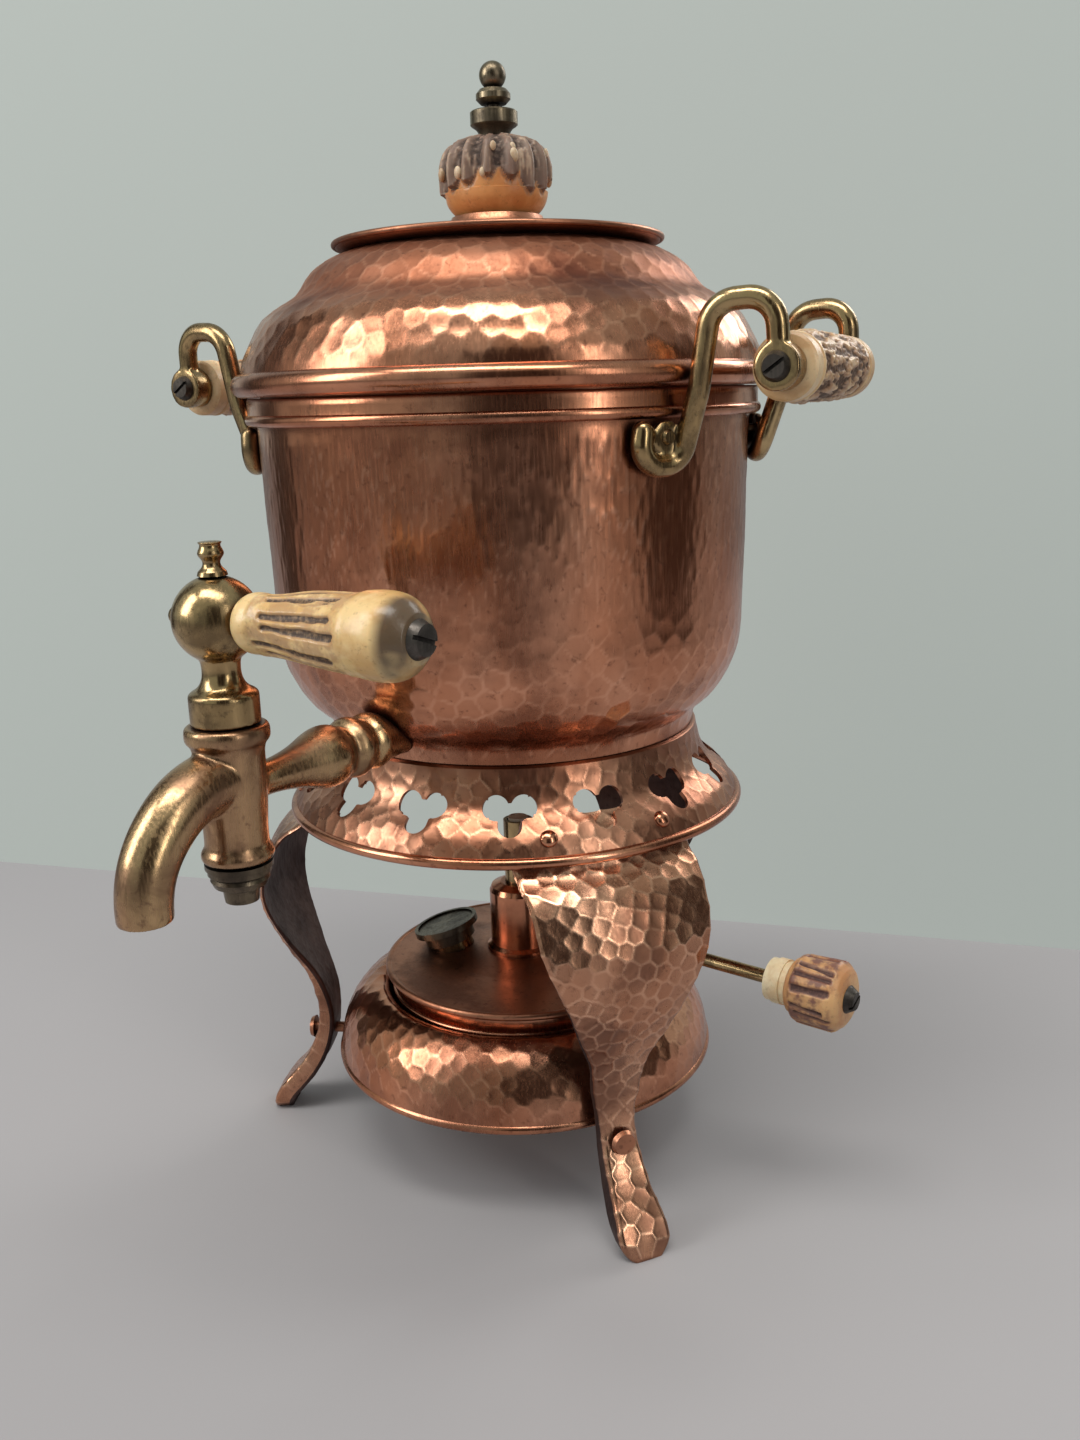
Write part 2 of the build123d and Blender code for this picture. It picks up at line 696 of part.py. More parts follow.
# Dome lid: a stepped dome with a thick bead that rests on the collar
dome_seat = collar_top + seat_gap
dome_crown = dome_seat + dome_height
dome_bead_height = dome_seat + dome_bead
dome_shape = (
    (0.033, 0.128), (0.092, 0.251), (0.177, 0.402), (0.295, 0.511), (0.41, 0.582), (0.505, 0.648),
    (0.56, 0.724), (0.613, 0.80), (0.705, 0.88), (0.846, 0.956),
)
dome_outline = stretch(
    (dome_base_radius, dome_bead_height + dome_bead - 0.4), (dome_opening_radius, dome_crown), dome_shape
)
skirt_radius = body_radius - copper_wall - dome_skirt_clearance
with BuildPart() as dome_lid:
    with BuildSketch(Plane.XZ):
        add(strip(dome_outline, -copper_wall))
        with Locations((dome_bead_reach, dome_bead_height)):
            Circle(dome_bead)
        add(box_section(skirt_radius - copper_wall, dome_bead_reach,
                        dome_bead_height, dome_bead_height + 1.4))
        add(box_section(skirt_radius - copper_wall, skirt_radius,
                        dome_seat - dome_skirt_depth, dome_bead_height + 1.4))
    revolve(axis=Axis.Z)
finish(dome_lid.part, "dome_lid")

# Small lid: a saucer over the dome's opening with a coned hub for its knob
disc_rest = dome_crown + seat_gap + copper_wall
hub_top = disc_rest + hub_height + 0.6
lid_outline = [
    (hub_radius, hub_top),
    (hub_radius + 1.9, hub_top - 0.33 * hub_height),
    (hub_radius + 6.0, hub_top - 0.56 * hub_height),
    (0.52 * small_lid_radius, hub_top - 0.72 * hub_height),
    (0.75 * small_lid_radius, hub_top - 0.95 * hub_height),
    (0.93 * small_lid_radius, disc_rest - 0.1),
    (small_lid_radius, disc_rest + 1.0),
]
plug_outer = dome_opening_radius - small_lid_clearance
with BuildPart() as small_lid:
    with BuildSketch(Plane.XZ):
        add(strip(lid_outline, copper_wall))
        add(box_section(finial_stud_radius + running_fit, hub_radius + 0.5, hub_top - 1.3 * copper_wall, hub_top))
        with Locations((small_lid_radius, disc_rest + 0.9)):
            Circle(small_lid_rim)
        add(box_section(plug_outer - copper_wall, plug_outer,
                        disc_rest - small_lid_plug_depth, disc_rest - 0.3))
    revolve(axis=Axis.Z)
finish(small_lid.part, "small_lid")

# Knob of the small lid: an antler burr with pearls, a turned finial through it and a nut below
burr_foot = hub_top + close_gap
burr_top = burr_foot + burr_height
with BuildPart() as lid_burr:
    with BuildSketch(Plane.XZ):
        with BuildLine():
            side = Spline(
                (0.74 * burr_radius, burr_foot),
                (0.90 * burr_radius, burr_foot + 0.13 * burr_height),
                (burr_radius, burr_foot + 0.42 * burr_height),
                (0.97 * burr_radius, burr_foot + 0.70 * burr_height),
                (0.76 * burr_radius, burr_foot + 0.91 * burr_height),
                (0.50 * burr_radius, burr_top),
            )
            bore = finial_stud_radius + running_fit
            Polyline(side @ 1, (bore, burr_top), (bore, burr_foot), side @ 0)
        make_face()
    revolve(axis=Axis.Z)
    with Locations((0, 0, burr_foot + 0.58 * burr_height)):
        with PolarLocations(burr_radius - 0.45 * burr_pearl_radius, burr_pearls):
            Sphere(burr_pearl_radius)
finish(lid_burr.part, "lid_burr")

finial_foot = burr_top + close_gap
nut_top = hub_top - 1.3 * copper_wall - close_gap
with BuildPart() as lid_finial:
    with BuildSketch(Plane.XZ):
        with BuildLine():
            start = (0.64 * finial_disc_radius, finial_foot)
            Polyline((0, finial_foot), start)
            cove = Spline(
                start,
                (0.70 * finial_disc_radius, finial_foot + 1.6),
                (finial_disc_radius - 0.5, finial_foot + 3.2),
            )
            Polyline(
                cove @ 1,
                (finial_disc_radius, finial_foot + 3.6), (finial_disc_radius, finial_foot + 7.4),
                (finial_disc_radius - 0.5, finial_foot + 7.8), (2.0, finial_foot + 8.4),
                (2.0, finial_foot + 9.6), (finial_upper_radius - 1.4, finial_foot + 9.8),
                (finial_upper_radius, finial_foot + 11.2), (finial_upper_radius, finial_foot + 12.8),
                (finial_upper_radius - 1.2, finial_foot + 14.2), (2.7, finial_foot + 14.6),
                (2.4, finial_foot + finial_height - 1.8 * finial_ball_radius), (0, finial_foot + 16.0),
            )
            Line((0, finial_foot + 16.0), (0, finial_foot))
        make_face()
    revolve(axis=Axis.Z)
    with Locations((0, 0, finial_foot + finial_height - finial_ball_radius)):
        Sphere(finial_ball_radius)
    with BuildSketch(Plane.XY.offset(nut_top - 5.5)):
        Circle(finial_stud_radius)
    extrude(amount=finial_foot + 1 - nut_top + 5.5)
finish(lid_finial.part, "lid_finial")

with BuildPart() as lid_nut:
    with BuildSketch(Plane.XY.offset(nut_top - 4)):
        RegularPolygon(5, 6)
        Circle(finial_stud_radius + 0.02, mode=Mode.SUBTRACT)
    extrude(amount=4)
finish(lid_nut.part, "lid_nut")


# Carrying handles: two swan-necked rods each side, with an antler grip between their ends
def make_bracket(middle, side):
    """Rod that curls flat on the urn, rises past the lid, arches over and ends in a boss."""
    plane = facing(middle)

    def place(along, reach, height):
        return plane.from_local_coords(Vector(side * along, height, reach))

    def on_wall(along, height):
        return place(along, sqrt(curl_radius**2 - along**2), height)

    inner = handle_half_span
    outer = inner + 13.0
    with BuildPart() as bracket:
        with BuildLine() as route:
            FilletPolyline(
                on_wall(outer - 1, handle_curl_low + 9.8),
                on_wall(outer, handle_curl_low),
                on_wall(inner, handle_curl_low),
                place(inner + 2.0, 0.787 * handle_reach, handle_arch_height - 25.0),
                place(inner + 3.0, 0.824 * handle_reach, handle_arch_height - 1.0),
                place(inner + 1.5, 0.99 * handle_reach, handle_arch_height),
                place(inner, handle_reach, handle_grip_height),
                radius=[6.2, 6.2, 30.0, 8.6, 8.0],
            )
        with BuildSketch(Plane(route.line @ 0, z_dir=route.line % 0)):
            Circle(handle_rod_radius)
        sweep(path=route.line)
        with Locations(Location(route.line @ 0)):
            Sphere(handle_rod_radius)
        with BuildSketch(Plane(place(inner - boss_length / 2, handle_reach, handle_grip_height),
                               z_dir=plane.x_dir * side)):
            Circle(boss_radius)
        extrude(amount=boss_length)
        with BuildSketch(facing(middle + curl_azimuth(side), curl_radius - 1.2, curl_pin_height)):
            Circle(curl_plate_radius)
        extrude(amount=2.4)
        with BuildSketch(facing(middle + curl_azimuth(side), curl_radius - 6, curl_pin_height)):
            Circle(rivet_shank_radius + running_fit)
        extrude(amount=12, mode=Mode.SUBTRACT)
        with BuildSketch(Plane(place(inner - boss_length, handle_reach, handle_grip_height),
                               z_dir=plane.x_dir * side)):
            Circle(grip_rod_radius + running_fit)
        extrude(amount=2 * boss_length, mode=Mode.SUBTRACT)
    return bracket.part


handle_names = ("right", "left")
for hand, middle in zip(handle_names, handle_azimuths):
    for end, side in (("front", -1), ("back", 1)):
        turn_side = side if hand == "right" else -side
        finish(make_bracket(middle, turn_side), f"handle_bracket_{hand}_{end}")

grip_half = handle_half_span - boss_length / 2 - close_gap


def make_grip(middle):
    """Antler grip with a ring and a groove near each end, bored for its rod."""
    plane = facing(middle, handle_reach, handle_grip_height)
    section_plane = Plane(plane.origin, x_dir=(0, 0, 1), z_dir=plane.z_dir)
    with BuildPart() as handle_grip:
        with BuildSketch(section_plane):
            with BuildLine():
                half = [
                    (grip_radius - 1.4, grip_half), (grip_radius - 0.5, grip_half - 0.8),
                    (grip_radius - 0.4, grip_half - 5.0), (grip_radius - 1.1, grip_half - 5.5),
                    (grip_radius - 1.1, grip_half - 6.3), (grip_radius - 0.3, grip_half - 6.8),
                    (grip_radius + 0.2, grip_half - 14.0),
                ]
                bore = grip_rod_radius + running_fit
                other = [(radius, -along) for radius, along in half[::-1]]
                Polyline((bore, grip_half), *half, (grip_radius + 0.5, 0), *other, (bore, -grip_half),
                         close=True)
            make_face()
        revolve(axis=Axis(plane.origin, plane.x_dir))
    return handle_grip.part


for hand, middle in zip(handle_names, handle_azimuths):
    finish(make_grip(middle), f"handle_grip_{hand}")

boss_face = handle_half_span + boss_length / 2
with BuildPart() as handle_rods:
    for middle in handle_azimuths:
        plane = facing(middle, handle_reach, handle_grip_height)
        with BuildSketch(Plane(plane.origin, z_dir=plane.x_dir)):
            Circle(grip_rod_radius)
        extrude(amount=boss_face - 2.5, both=True)
finish(handle_rods.part, "handle_rods")

with BuildPart() as handle_screws:
    for middle in handle_azimuths:
        plane = facing(middle, handle_reach, handle_grip_height)
        for side in (-1, 1):
            face = Plane(plane.origin, z_dir=plane.x_dir * side).offset(boss_face)
            with BuildSketch(face.offset(-2.3)):
                Circle(grip_rod_radius - 0.4)
            extrude(amount=2.8)
            with BuildSketch(face.offset(close_gap)):
                Circle(handle_screw_radius)
            extrude(amount=2.2, taper=25)
            with BuildSketch(face.offset(close_gap + 1.3)):
                Rectangle(12, 1.0, rotation=35)
            extrude(amount=2, mode=Mode.SUBTRACT)
finish(handle_screws.part, "handle_screws")

with BuildPart() as handle_rivets:
    for middle in handle_azimuths:
        for side in (-1, 1):
            pin = facing(middle + curl_azimuth(side), body_radius - copper_wall, curl_pin_height)
            outside = curl_radius + 1.2 - body_radius + copper_wall
            with BuildSketch(pin.offset(-1.2)):
                Circle(rivet_shank_radius)
            extrude(amount=outside + 1.6)
            with BuildSketch(pin.offset(outside + close_gap)):
                Circle(1.5 * rivet_shank_radius)
            extrude(amount=0.9, taper=30)
            with BuildSketch(pin.offset(-1.5)):
                Circle(1.6 * rivet_shank_radius)
            extrude(amount=1.0)
finish(handle_rivets.part, "handle_rivets")

# Tap: one brass casting with a ringed shank, an upright barrel and a down-turned spout
spout_root = tap_shank_height + spout_root_rise
wall_at_tap = belly_radius - tap_wall_step
shank_end_rings = (
    (14.8, 8.6), (12.2, 9.5), (9.6, 8.6), (7.7, 7.4), (6.0, 8.3), (3.6, 9.0), (1.0, 8.4), (-1.5, 7.9), (-12.0, 7.9),
)
shank_span = tap_reach - wall_at_tap - shank_end_rings[0][0]
shank_curve = (
    (0.111, 5.6), (0.288, 4.9), (0.420, 5.4), (0.608, 7.2), (0.752, 9.1), (0.830, 9.4), (0.907, 8.4), (0.958, 7.3),
)
shank_rings = [(tap_reach - share * shank_span, radius) for share, radius in shank_curve]
shank_rings += [(wall_at_tap + out, radius) for out, radius in shank_end_rings]
with BuildPart(mode=Mode.PRIVATE) as urn_form:
    with BuildSketch(Plane.XZ):
        add(urn_section(-close_gap))
    revolve(axis=Axis.Z)
with BuildPart(mode=Mode.PRIVATE) as urn_hollow:
    with BuildSketch(Plane.XZ):
        add(urn_section(copper_wall + close_gap))
    revolve(axis=Axis.Z)

with BuildPart() as tap_body:
    with BuildSketch(Plane.YZ):
        with BuildLine():
            rings = Spline(*[(-along, tap_shank_height + radius) for along, radius in shank_rings])
            Polyline(rings @ 1, (-shank_rings[-1][0], tap_shank_height), (-shank_rings[0][0], tap_shank_height),
                     rings @ 0)
        make_face()
    revolve(axis=Axis((0, 0, tap_shank_height), (0, 1, 0)))
    add(urn_form.part, mode=Mode.SUBTRACT)
    with BuildSketch(Plane((0, -tap_reach, 0), x_dir=(1, 0, 0), z_dir=(0, -1, 0))):
        with BuildLine():
            Polyline(
                (0, barrel_bottom), (barrel_waist_radius + 0.6, barrel_bottom),
                (barrel_waist_radius + 1.3, barrel_bottom + 1.2),
                (barrel_waist_radius + 1.3, barrel_bottom + 2.6),
                (barrel_waist_radius, barrel_bottom + 4.5), (barrel_waist_radius, barrel_bottom + 9.5),
                (barrel_radius, tap_shank_height), (barrel_radius, barrel_top - 7.5),
                (barrel_radius + 0.6, barrel_top - 5.2), (barrel_radius + 1.9, barrel_top - 4.2),
                (barrel_radius + 1.9, barrel_top - 1.0), (barrel_radius + 1.2, barrel_top), (0, barrel_top),
                close=True,
            )
        make_face()
    revolve(axis=tap_axis)
    with BuildLine() as spout_route:
        Line((0, -tap_reach, spout_root), (0, -tap_reach - 4.0, spout_root))
        bend = Spline(
            (0, -tap_reach - 4.0, spout_root),
            (0, -tap_reach - 4.0 - spout_drop_radius * sin(pi / 4),
             spout_root - spout_drop_radius * (1 - cos(pi / 4))),
            (0, -tap_reach - 4.0 - spout_drop_radius, spout_root - spout_drop_radius),
            tangents=((0, -1, 0), (0, 0, -1)),
        )
        Line(bend @ 1, (bend @ 1) - Vector(0, 0, spout_tail))
    with BuildSketch(Plane((0, -tap_reach, spout_root), z_dir=(0, -1, 0))):
        Circle(spout_root_radius)
    with BuildSketch(Plane(spout_route.line @ 1, z_dir=(0, 0, -1))):
        Circle(spout_end_radius)
    sweep(path=spout_route.line, multisection=True)
    with BuildSketch(tap_line.offset(wall_at_tap - shank_thread_length)):
        Circle(shank_thread_radius)
    extrude(amount=shank_thread_length)
    with BuildSketch(Plane((0, -tap_reach, spout_root), z_dir=(0, -1, 0))):
        Circle(plug_port)
    with BuildSketch(Plane(spout_route.line @ 1, z_dir=(0, 0, -1))):
        Circle(spout_bore)
    sweep(path=spout_route.line, multisection=True, mode=Mode.SUBTRACT)
    with BuildSketch(tap_line.offset(wall_at_tap - shank_thread_length - 2.0)):
        Circle(shank_bore)
    extrude(amount=tap_reach - wall_at_tap + shank_thread_length + 2.0, mode=Mode.SUBTRACT)
    with BuildSketch(Plane((0, -tap_reach, barrel_bottom - 1))):
        Circle(plug_radius + running_fit)
    extrude(amount=barrel_top - barrel_bottom + 2, mode=Mode.SUBTRACT)
finish(tap_body.part, "tap_body")

with BuildPart() as tap_gasket:
    with BuildSketch(tap_line.offset(wall_at_tap - shank_thread_length + 6.5)):
        Circle(gasket_radius)
        Circle(shank_thread_radius + running_fit, mode=Mode.SUBTRACT)
    extrude(amount=16)
    add(urn_hollow.part, mode=Mode.INTERSECT)
finish(tap_gasket.part, "tap_gasket")

with BuildPart() as tap_back_nut:
    with BuildSketch(tap_line.offset(wall_at_tap - shank_thread_length + 1.5)):
        RegularPolygon(back_nut_radius, 6)
        Circle(shank_thread_radius + 0.02, mode=Mode.SUBTRACT)
    extrude(amount=back_nut_height)
finish(tap_back_nut.part, "tap_back_nut")

# Tap key: the plug that turns in the barrel, with its ball on top
plug_ring_low = barrel_top + seat_gap
plug_ring_top = plug_ring_low + plug_ring_height
with BuildPart() as tap_plug:
    with BuildSketch(Plane((0, -tap_reach, 0), x_dir=(1, 0, 0), z_dir=(0, -1, 0))):
        with BuildLine():
            neck = Spline(
                (plug_ring_radius - 1.0, plug_ring_top),
                (6.0, plug_ring_top + 2.0),
                (5.2, ball_height - ball_radius - 0.5),
                (5.6, ball_height - ball_radius + 2.0),
            )
            Polyline(
                neck @ 0, (plug_ring_radius, plug_ring_top - 0.8), (plug_ring_radius, plug_ring_low),
                (plug_radius, plug_ring_low), (plug_radius, barrel_bottom - 0.2),
                (3.9, barrel_bottom - 0.2), (3.9, barrel_bottom - 10.0), (0, barrel_bottom - 10.0),
                (0, ball_height), (5.6, ball_height), neck @ 1,
            )
        make_face()
    revolve(axis=tap_axis)
    with Locations((0, -tap_reach, ball_height)):
        Sphere(ball_radius)
    with BuildSketch(Plane((0, -tap_reach, tap_shank_height + 0.5 * spout_root_rise), z_dir=(1, 0, 0))):
        Circle(plug_port)
    extrude(amount=2 * plug_radius, both=True, mode=Mode.SUBTRACT)
    with BuildSketch(Plane((0, -tap_reach, ball_height), z_dir=(1, 0, 0))):
        Circle(lever_rod_radius + running_fit)
    extrude(amount=2 * ball_radius, both=True, mode=Mode.SUBTRACT)
finish(tap_plug.part, "tap_plug")

finial_seat = ball_height + ball_radius
with BuildPart() as tap_finial:
    with BuildSketch(Plane((0, -tap_reach, 0), x_dir=(1, 0, 0), z_dir=(0, -1, 0))):
        with BuildLine():
            pin = Spline(
                (3.7, finial_seat + 0.9), (2.6, finial_seat + 2.1), (2.3, finial_seat + 3.4),
                (3.4, finial_seat + 5.6), (2.7, finial_seat + 7.8), (0, finial_seat + 8.7),
                tangents=((-0.8, 1), (-1, 0)),
            )
            Polyline(pin @ 1, (0, finial_seat + 0.1), (2.0, finial_seat + 0.1),
                     (4.0, finial_seat - 0.15), (3.7, finial_seat + 0.9))
        make_face()
    revolve(axis=tap_axis)
finish(tap_finial.part, "tap_finial")

lever_plane = Plane((0, -tap_reach, ball_height), z_dir=(1, 0, 0))
lever_axis = Axis((0, -tap_reach, ball_height), (1, 0, 0))
lever_section = Plane((0, -tap_reach, ball_height), x_dir=(1, 0, 0), z_dir=(0, -1, 0))
rod_end = lever_length - 6.0
with BuildPart() as tap_lever_rod:
    with BuildSketch(lever_section):
        with BuildLine():
            knob = ThreePointArc(
                (-ball_radius - 5.7, 0),
                (-ball_radius - 2.9, 3.0),
                (-ball_radius - 0.4, lever_rod_radius),
            )
            Polyline(knob @ 1, (rod_end, lever_rod_radius), (rod_end, 1.65), (rod_end - 3.5, 1.65),
                     (rod_end - 3.5, 0), knob @ 0)
        make_face()
    revolve(axis=lever_axis)
finish(tap_lever_rod.part, "tap_lever_rod")

grip_end = lever_length - 2.0
with BuildPart() as tap_lever_grip:
    with BuildSketch(lever_section):
        with BuildLine():
            start = lever_grip_start
            hide = Spline(
                (start, 7.1), (start + 1.2, 7.7), (start + 6, 7.9), (start + 20, 8.8), (start + 36, 10.2),
                (start + 46, 11.1), (start + 51.5, 9.9), (grip_end, 6.2),
            )
            bore = lever_rod_radius + running_fit
            Polyline(hide @ 1, (grip_end, bore), (start, bore), hide @ 0)
        make_face()
    revolve(axis=lever_axis)
finish(tap_lever_grip.part, "tap_lever_grip")

with BuildPart() as tap_lever_screw:
    with BuildSketch(lever_plane.offset(rod_end - 3.3)):
        Circle(1.6)
    extrude(amount=8)
    with BuildSketch(lever_plane.offset(grip_end + close_gap)):
        Circle(5.0)
    extrude(amount=2.4, taper=24)
    with BuildSketch(lever_plane.offset(grip_end + close_gap + 1.4)):
        Rectangle(12, 1.1, rotation=70)
    extrude(amount=2, mode=Mode.SUBTRACT)
finish(tap_lever_screw.part, "tap_lever_screw")

with BuildPart() as tap_washer:
    with BuildSketch(Plane((0, -tap_reach, barrel_bottom - seat_gap - 1.6))):
        Circle(barrel_waist_radius + 0.6)
        Circle(3.9 + running_fit, mode=Mode.SUBTRACT)
    extrude(amount=1.6 - 0.2)
finish(tap_washer.part, "tap_washer")

nut_face = barrel_bottom - seat_gap - 1.6 - close_gap
with BuildPart() as tap_nut:
    with BuildSketch(Plane((0, -tap_reach, 0), x_dir=(1, 0, 0), z_dir=(0, -1, 0))):
        add(ring_section(
            (3.9 + 0.02, nut_face), (barrel_waist_radius, nut_face), (barrel_waist_radius, nut_face - 1.6),
            (barrel_waist_radius - 1.0, nut_face - 2.4), (barrel_waist_radius - 0.6, nut_face - 3.4),
            (barrel_waist_radius - 1.4, nut_face - 5.2), (5.2, nut_face - 6.2), (4.7, nut_face - 10.0),
            (3.9 + 0.02, nut_face - 10.0),
        ))
    revolve(axis=tap_axis)
finish(tap_nut.part, "tap_nut")
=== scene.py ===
"""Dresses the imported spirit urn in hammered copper, aged brass and antler, and sets its camera and light."""

import logging
from dataclasses import dataclass, field
from enum import Enum
from math import cos, hypot, pi, radians, sin
from typing import Callable, Optional, Sequence

import bmesh
import bpy
import numpy as np
from mathutils import Matrix, Vector


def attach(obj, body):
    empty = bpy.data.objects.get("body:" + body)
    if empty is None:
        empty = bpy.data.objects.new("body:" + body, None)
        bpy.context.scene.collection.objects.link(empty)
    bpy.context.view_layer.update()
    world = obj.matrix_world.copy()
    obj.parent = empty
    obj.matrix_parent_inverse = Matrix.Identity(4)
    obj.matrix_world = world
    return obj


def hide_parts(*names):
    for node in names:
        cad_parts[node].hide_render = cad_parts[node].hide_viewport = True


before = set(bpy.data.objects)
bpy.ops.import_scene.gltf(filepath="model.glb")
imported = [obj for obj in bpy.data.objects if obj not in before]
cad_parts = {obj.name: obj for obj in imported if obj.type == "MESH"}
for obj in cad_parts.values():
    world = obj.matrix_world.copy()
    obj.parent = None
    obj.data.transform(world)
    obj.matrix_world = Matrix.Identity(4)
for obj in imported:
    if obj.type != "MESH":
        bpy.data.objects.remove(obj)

LOG = logging.getLogger("urn")
MM = 0.001
Point = tuple[float, float]
Spot = tuple[float, float, float]
Colour = tuple[float, float, float]
Piece = bpy.types.Object
Socket = bpy.types.NodeSocket
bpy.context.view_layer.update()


class Slot(Enum):
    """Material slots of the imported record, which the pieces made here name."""

    COPPER = "copper"
    BRASS = "brass"
    ANTLER = "antler"


# Outlines


def spline(points: Sequence[Point], step: float) -> np.ndarray:
    """Samples a smooth curve through points.

    Args:
        points: Corner points of the curve, in millimetres.
        step: Distance between samples.

    Returns:
        Samples, one row each.
    """
    knots = np.array(points, float)
    chord = np.concatenate([[0], np.cumsum(np.hypot(*np.diff(knots, axis=0).T))])
    gap = np.diff(chord)
    count = len(knots)
    matrix, right = np.zeros((count, count)), np.zeros((count, 2))
    matrix[0, 0] = matrix[-1, -1] = 1
    for k in range(1, count - 1):
        matrix[k, k - 1 : k + 2] = gap[k - 1], 2 * (gap[k - 1] + gap[k]), gap[k]
        right[k] = 6 * ((knots[k + 1] - knots[k]) / gap[k] - (knots[k] - knots[k - 1]) / gap[k - 1])
    bend = np.linalg.solve(matrix, right)
    fine = np.linspace(0, chord[-1], max(3, int(chord[-1] / step) + 1))
    place = np.clip(np.searchsorted(chord, fine, side="right") - 1, 0, count - 2)
    h, left, back = gap[place][:, None], (chord[place + 1] - fine)[:, None], (fine - chord[place])[:, None]
    return (
        bend[place] * left**3 / (6 * h)
        + bend[place + 1] * back**3 / (6 * h)
        + (knots[place] / h - bend[place] * h / 6) * left
        + (knots[place + 1] / h - bend[place + 1] * h / 6) * back
    )


def stretch(start: Point, end: Point, shape: Sequence[Point]) -> list[Point]:
    """Points between two ends, each given by its share of the way across and of the way up."""
    across, up = end[0] - start[0], end[1] - start[1]
    return [start] + [(start[0] + across * a, start[1] + up * b) for a, b in shape] + [end]


def straight(points: Sequence[Point], step: float) -> np.ndarray:
    """Samples the straight lines between points.

    Args:
        points: Corner points, in millimetres.
        step: Greatest distance between samples.

    Returns:
        Samples, one row each.
    """
    rows: list[np.ndarray] = [np.array(points[0], float)[None]]
    for first, last in zip(points, points[1:]):
        count = max(1, int(np.ceil(hypot(last[0] - first[0], last[1] - first[1]) / step)))
        share = np.linspace(0, 1, count + 1)[1:, None]
        rows.append(np.array(first) + share * (np.array(last) - np.array(first)))
    return np.concatenate(rows)


def arc(centre: Point, radius: float, first: float, last: float, count: int = 10) -> np.ndarray:
    """Samples an arc between two angles in degrees, counted from outward towards up."""
    turn = np.radians(np.linspace(first, last, count))
    return np.array(centre) + radius * np.stack([np.cos(turn), np.sin(turn)], axis=1)


def beside(line: np.ndarray, distance: np.ndarray) -> np.ndarray:
    """Finds the points beside a sampled line.

    Args:
        line: Samples of the line, one row each.
        distance: Distance to its right at each sample, below 0 for its left.

    Returns:
        Points, one row each.
    """
    way = np.gradient(line, axis=0)
    way /= np.linalg.norm(way, axis=1)[:, None]
    return line + np.stack([way[:, 1], -way[:, 0]], axis=1) * np.reshape(distance, (-1, 1))


@dataclass
class Section:
    """Section of a round piece, run by run, with how much of each texture each run takes.

    Attributes:
        rows: Radius and height of the points of each run, in millimetres.
        hammer: Share of round hammer marks at the points of each run.
        marks: Share of long upright marks at the points of each run.
    """

    rows: list[np.ndarray] = field(default_factory=list)
    hammer: list[np.ndarray] = field(default_factory=list)
    marks: list[np.ndarray] = field(default_factory=list)

    def run(self, points: np.ndarray, hammer: float = 0.0, marks: float = 0.0) -> "Section":
        """Adds a run of points with one share of each texture.

        Args:
            points: Radius and height of its points, in millimetres.
            hammer: Share of round hammer marks.
            marks: Share of long upright marks.

        Returns:
            The same section.
        """
        rows = np.array(points, float)
        self.rows.append(rows)
        self.hammer.append(np.full(len(rows), hammer))
        self.marks.append(np.full(len(rows), marks))
        return self

    def joined(self) -> tuple[np.ndarray, np.ndarray, np.ndarray]:
        """All the points and the shares of both textures."""
        return np.concatenate(self.rows), np.concatenate(self.hammer), np.concatenate(self.marks)


# Meshes


def grid_faces(rows: int, columns: int, close_rows: bool, close_columns: bool) -> list[tuple[int, ...]]:
    """Makes the quads of a grid whose vertices are numbered row by row.

    Args:
        rows: Count of rows.
        columns: Count of vertices in a row.
        close_rows: Whether the last row joins the first.
        close_columns: Whether the last column joins the first.

    Returns:
        Faces by vertex number.
    """
    row_end = rows if close_rows else rows - 1
    column_end = columns if close_columns else columns - 1
    faces = []
    for i in range(row_end):
        low, high = i * columns, ((i + 1) % rows) * columns
        for j in range(column_end):
            k = (j + 1) % columns
            faces.append((low + j, low + k, high + k, high + j))
    return faces


def make_object(name: str, verts: np.ndarray, faces: Sequence[tuple[int, ...]], body: str,
                shares: Optional[dict[str, np.ndarray]] = None, sharp: float = 42.0) -> Piece:
    """Makes a closed mesh piece with outward normals.

    Args:
        name: Name of the piece.
        verts: Vertices in millimetres.
        faces: Faces by vertex number.
        body: CAD body that the piece rides on.
        shares: Named values for each vertex, kept as attributes.
        sharp: Angle in degrees above which an edge is drawn sharp.

    Returns:
        The new object.
    """
    mesh = bpy.data.meshes.new(name)
    mesh.from_pydata((np.array(verts) * MM).tolist(), [], [tuple(f) for f in faces])
    for key, values in (shares or {}).items():
        mesh.attributes.new(key, "FLOAT", "POINT").data.foreach_set("value", np.array(values, np.float32))
    shape = bmesh.new()
    shape.from_mesh(mesh)
    bmesh.ops.remove_doubles(shape, verts=shape.verts, dist=1e-7)
    bmesh.ops.recalc_face_normals(shape, faces=shape.faces)
    if shape.calc_volume(signed=True) < 0:
        bmesh.ops.reverse_faces(shape, faces=shape.faces)
    shape.to_mesh(mesh)
    shape.free()
    mesh.shade_smooth()
    mesh.set_sharp_from_angle(angle=radians(sharp))
    made = bpy.data.objects.new(name, mesh)
    bpy.context.scene.collection.objects.link(made)
    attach(made, body)
    return made


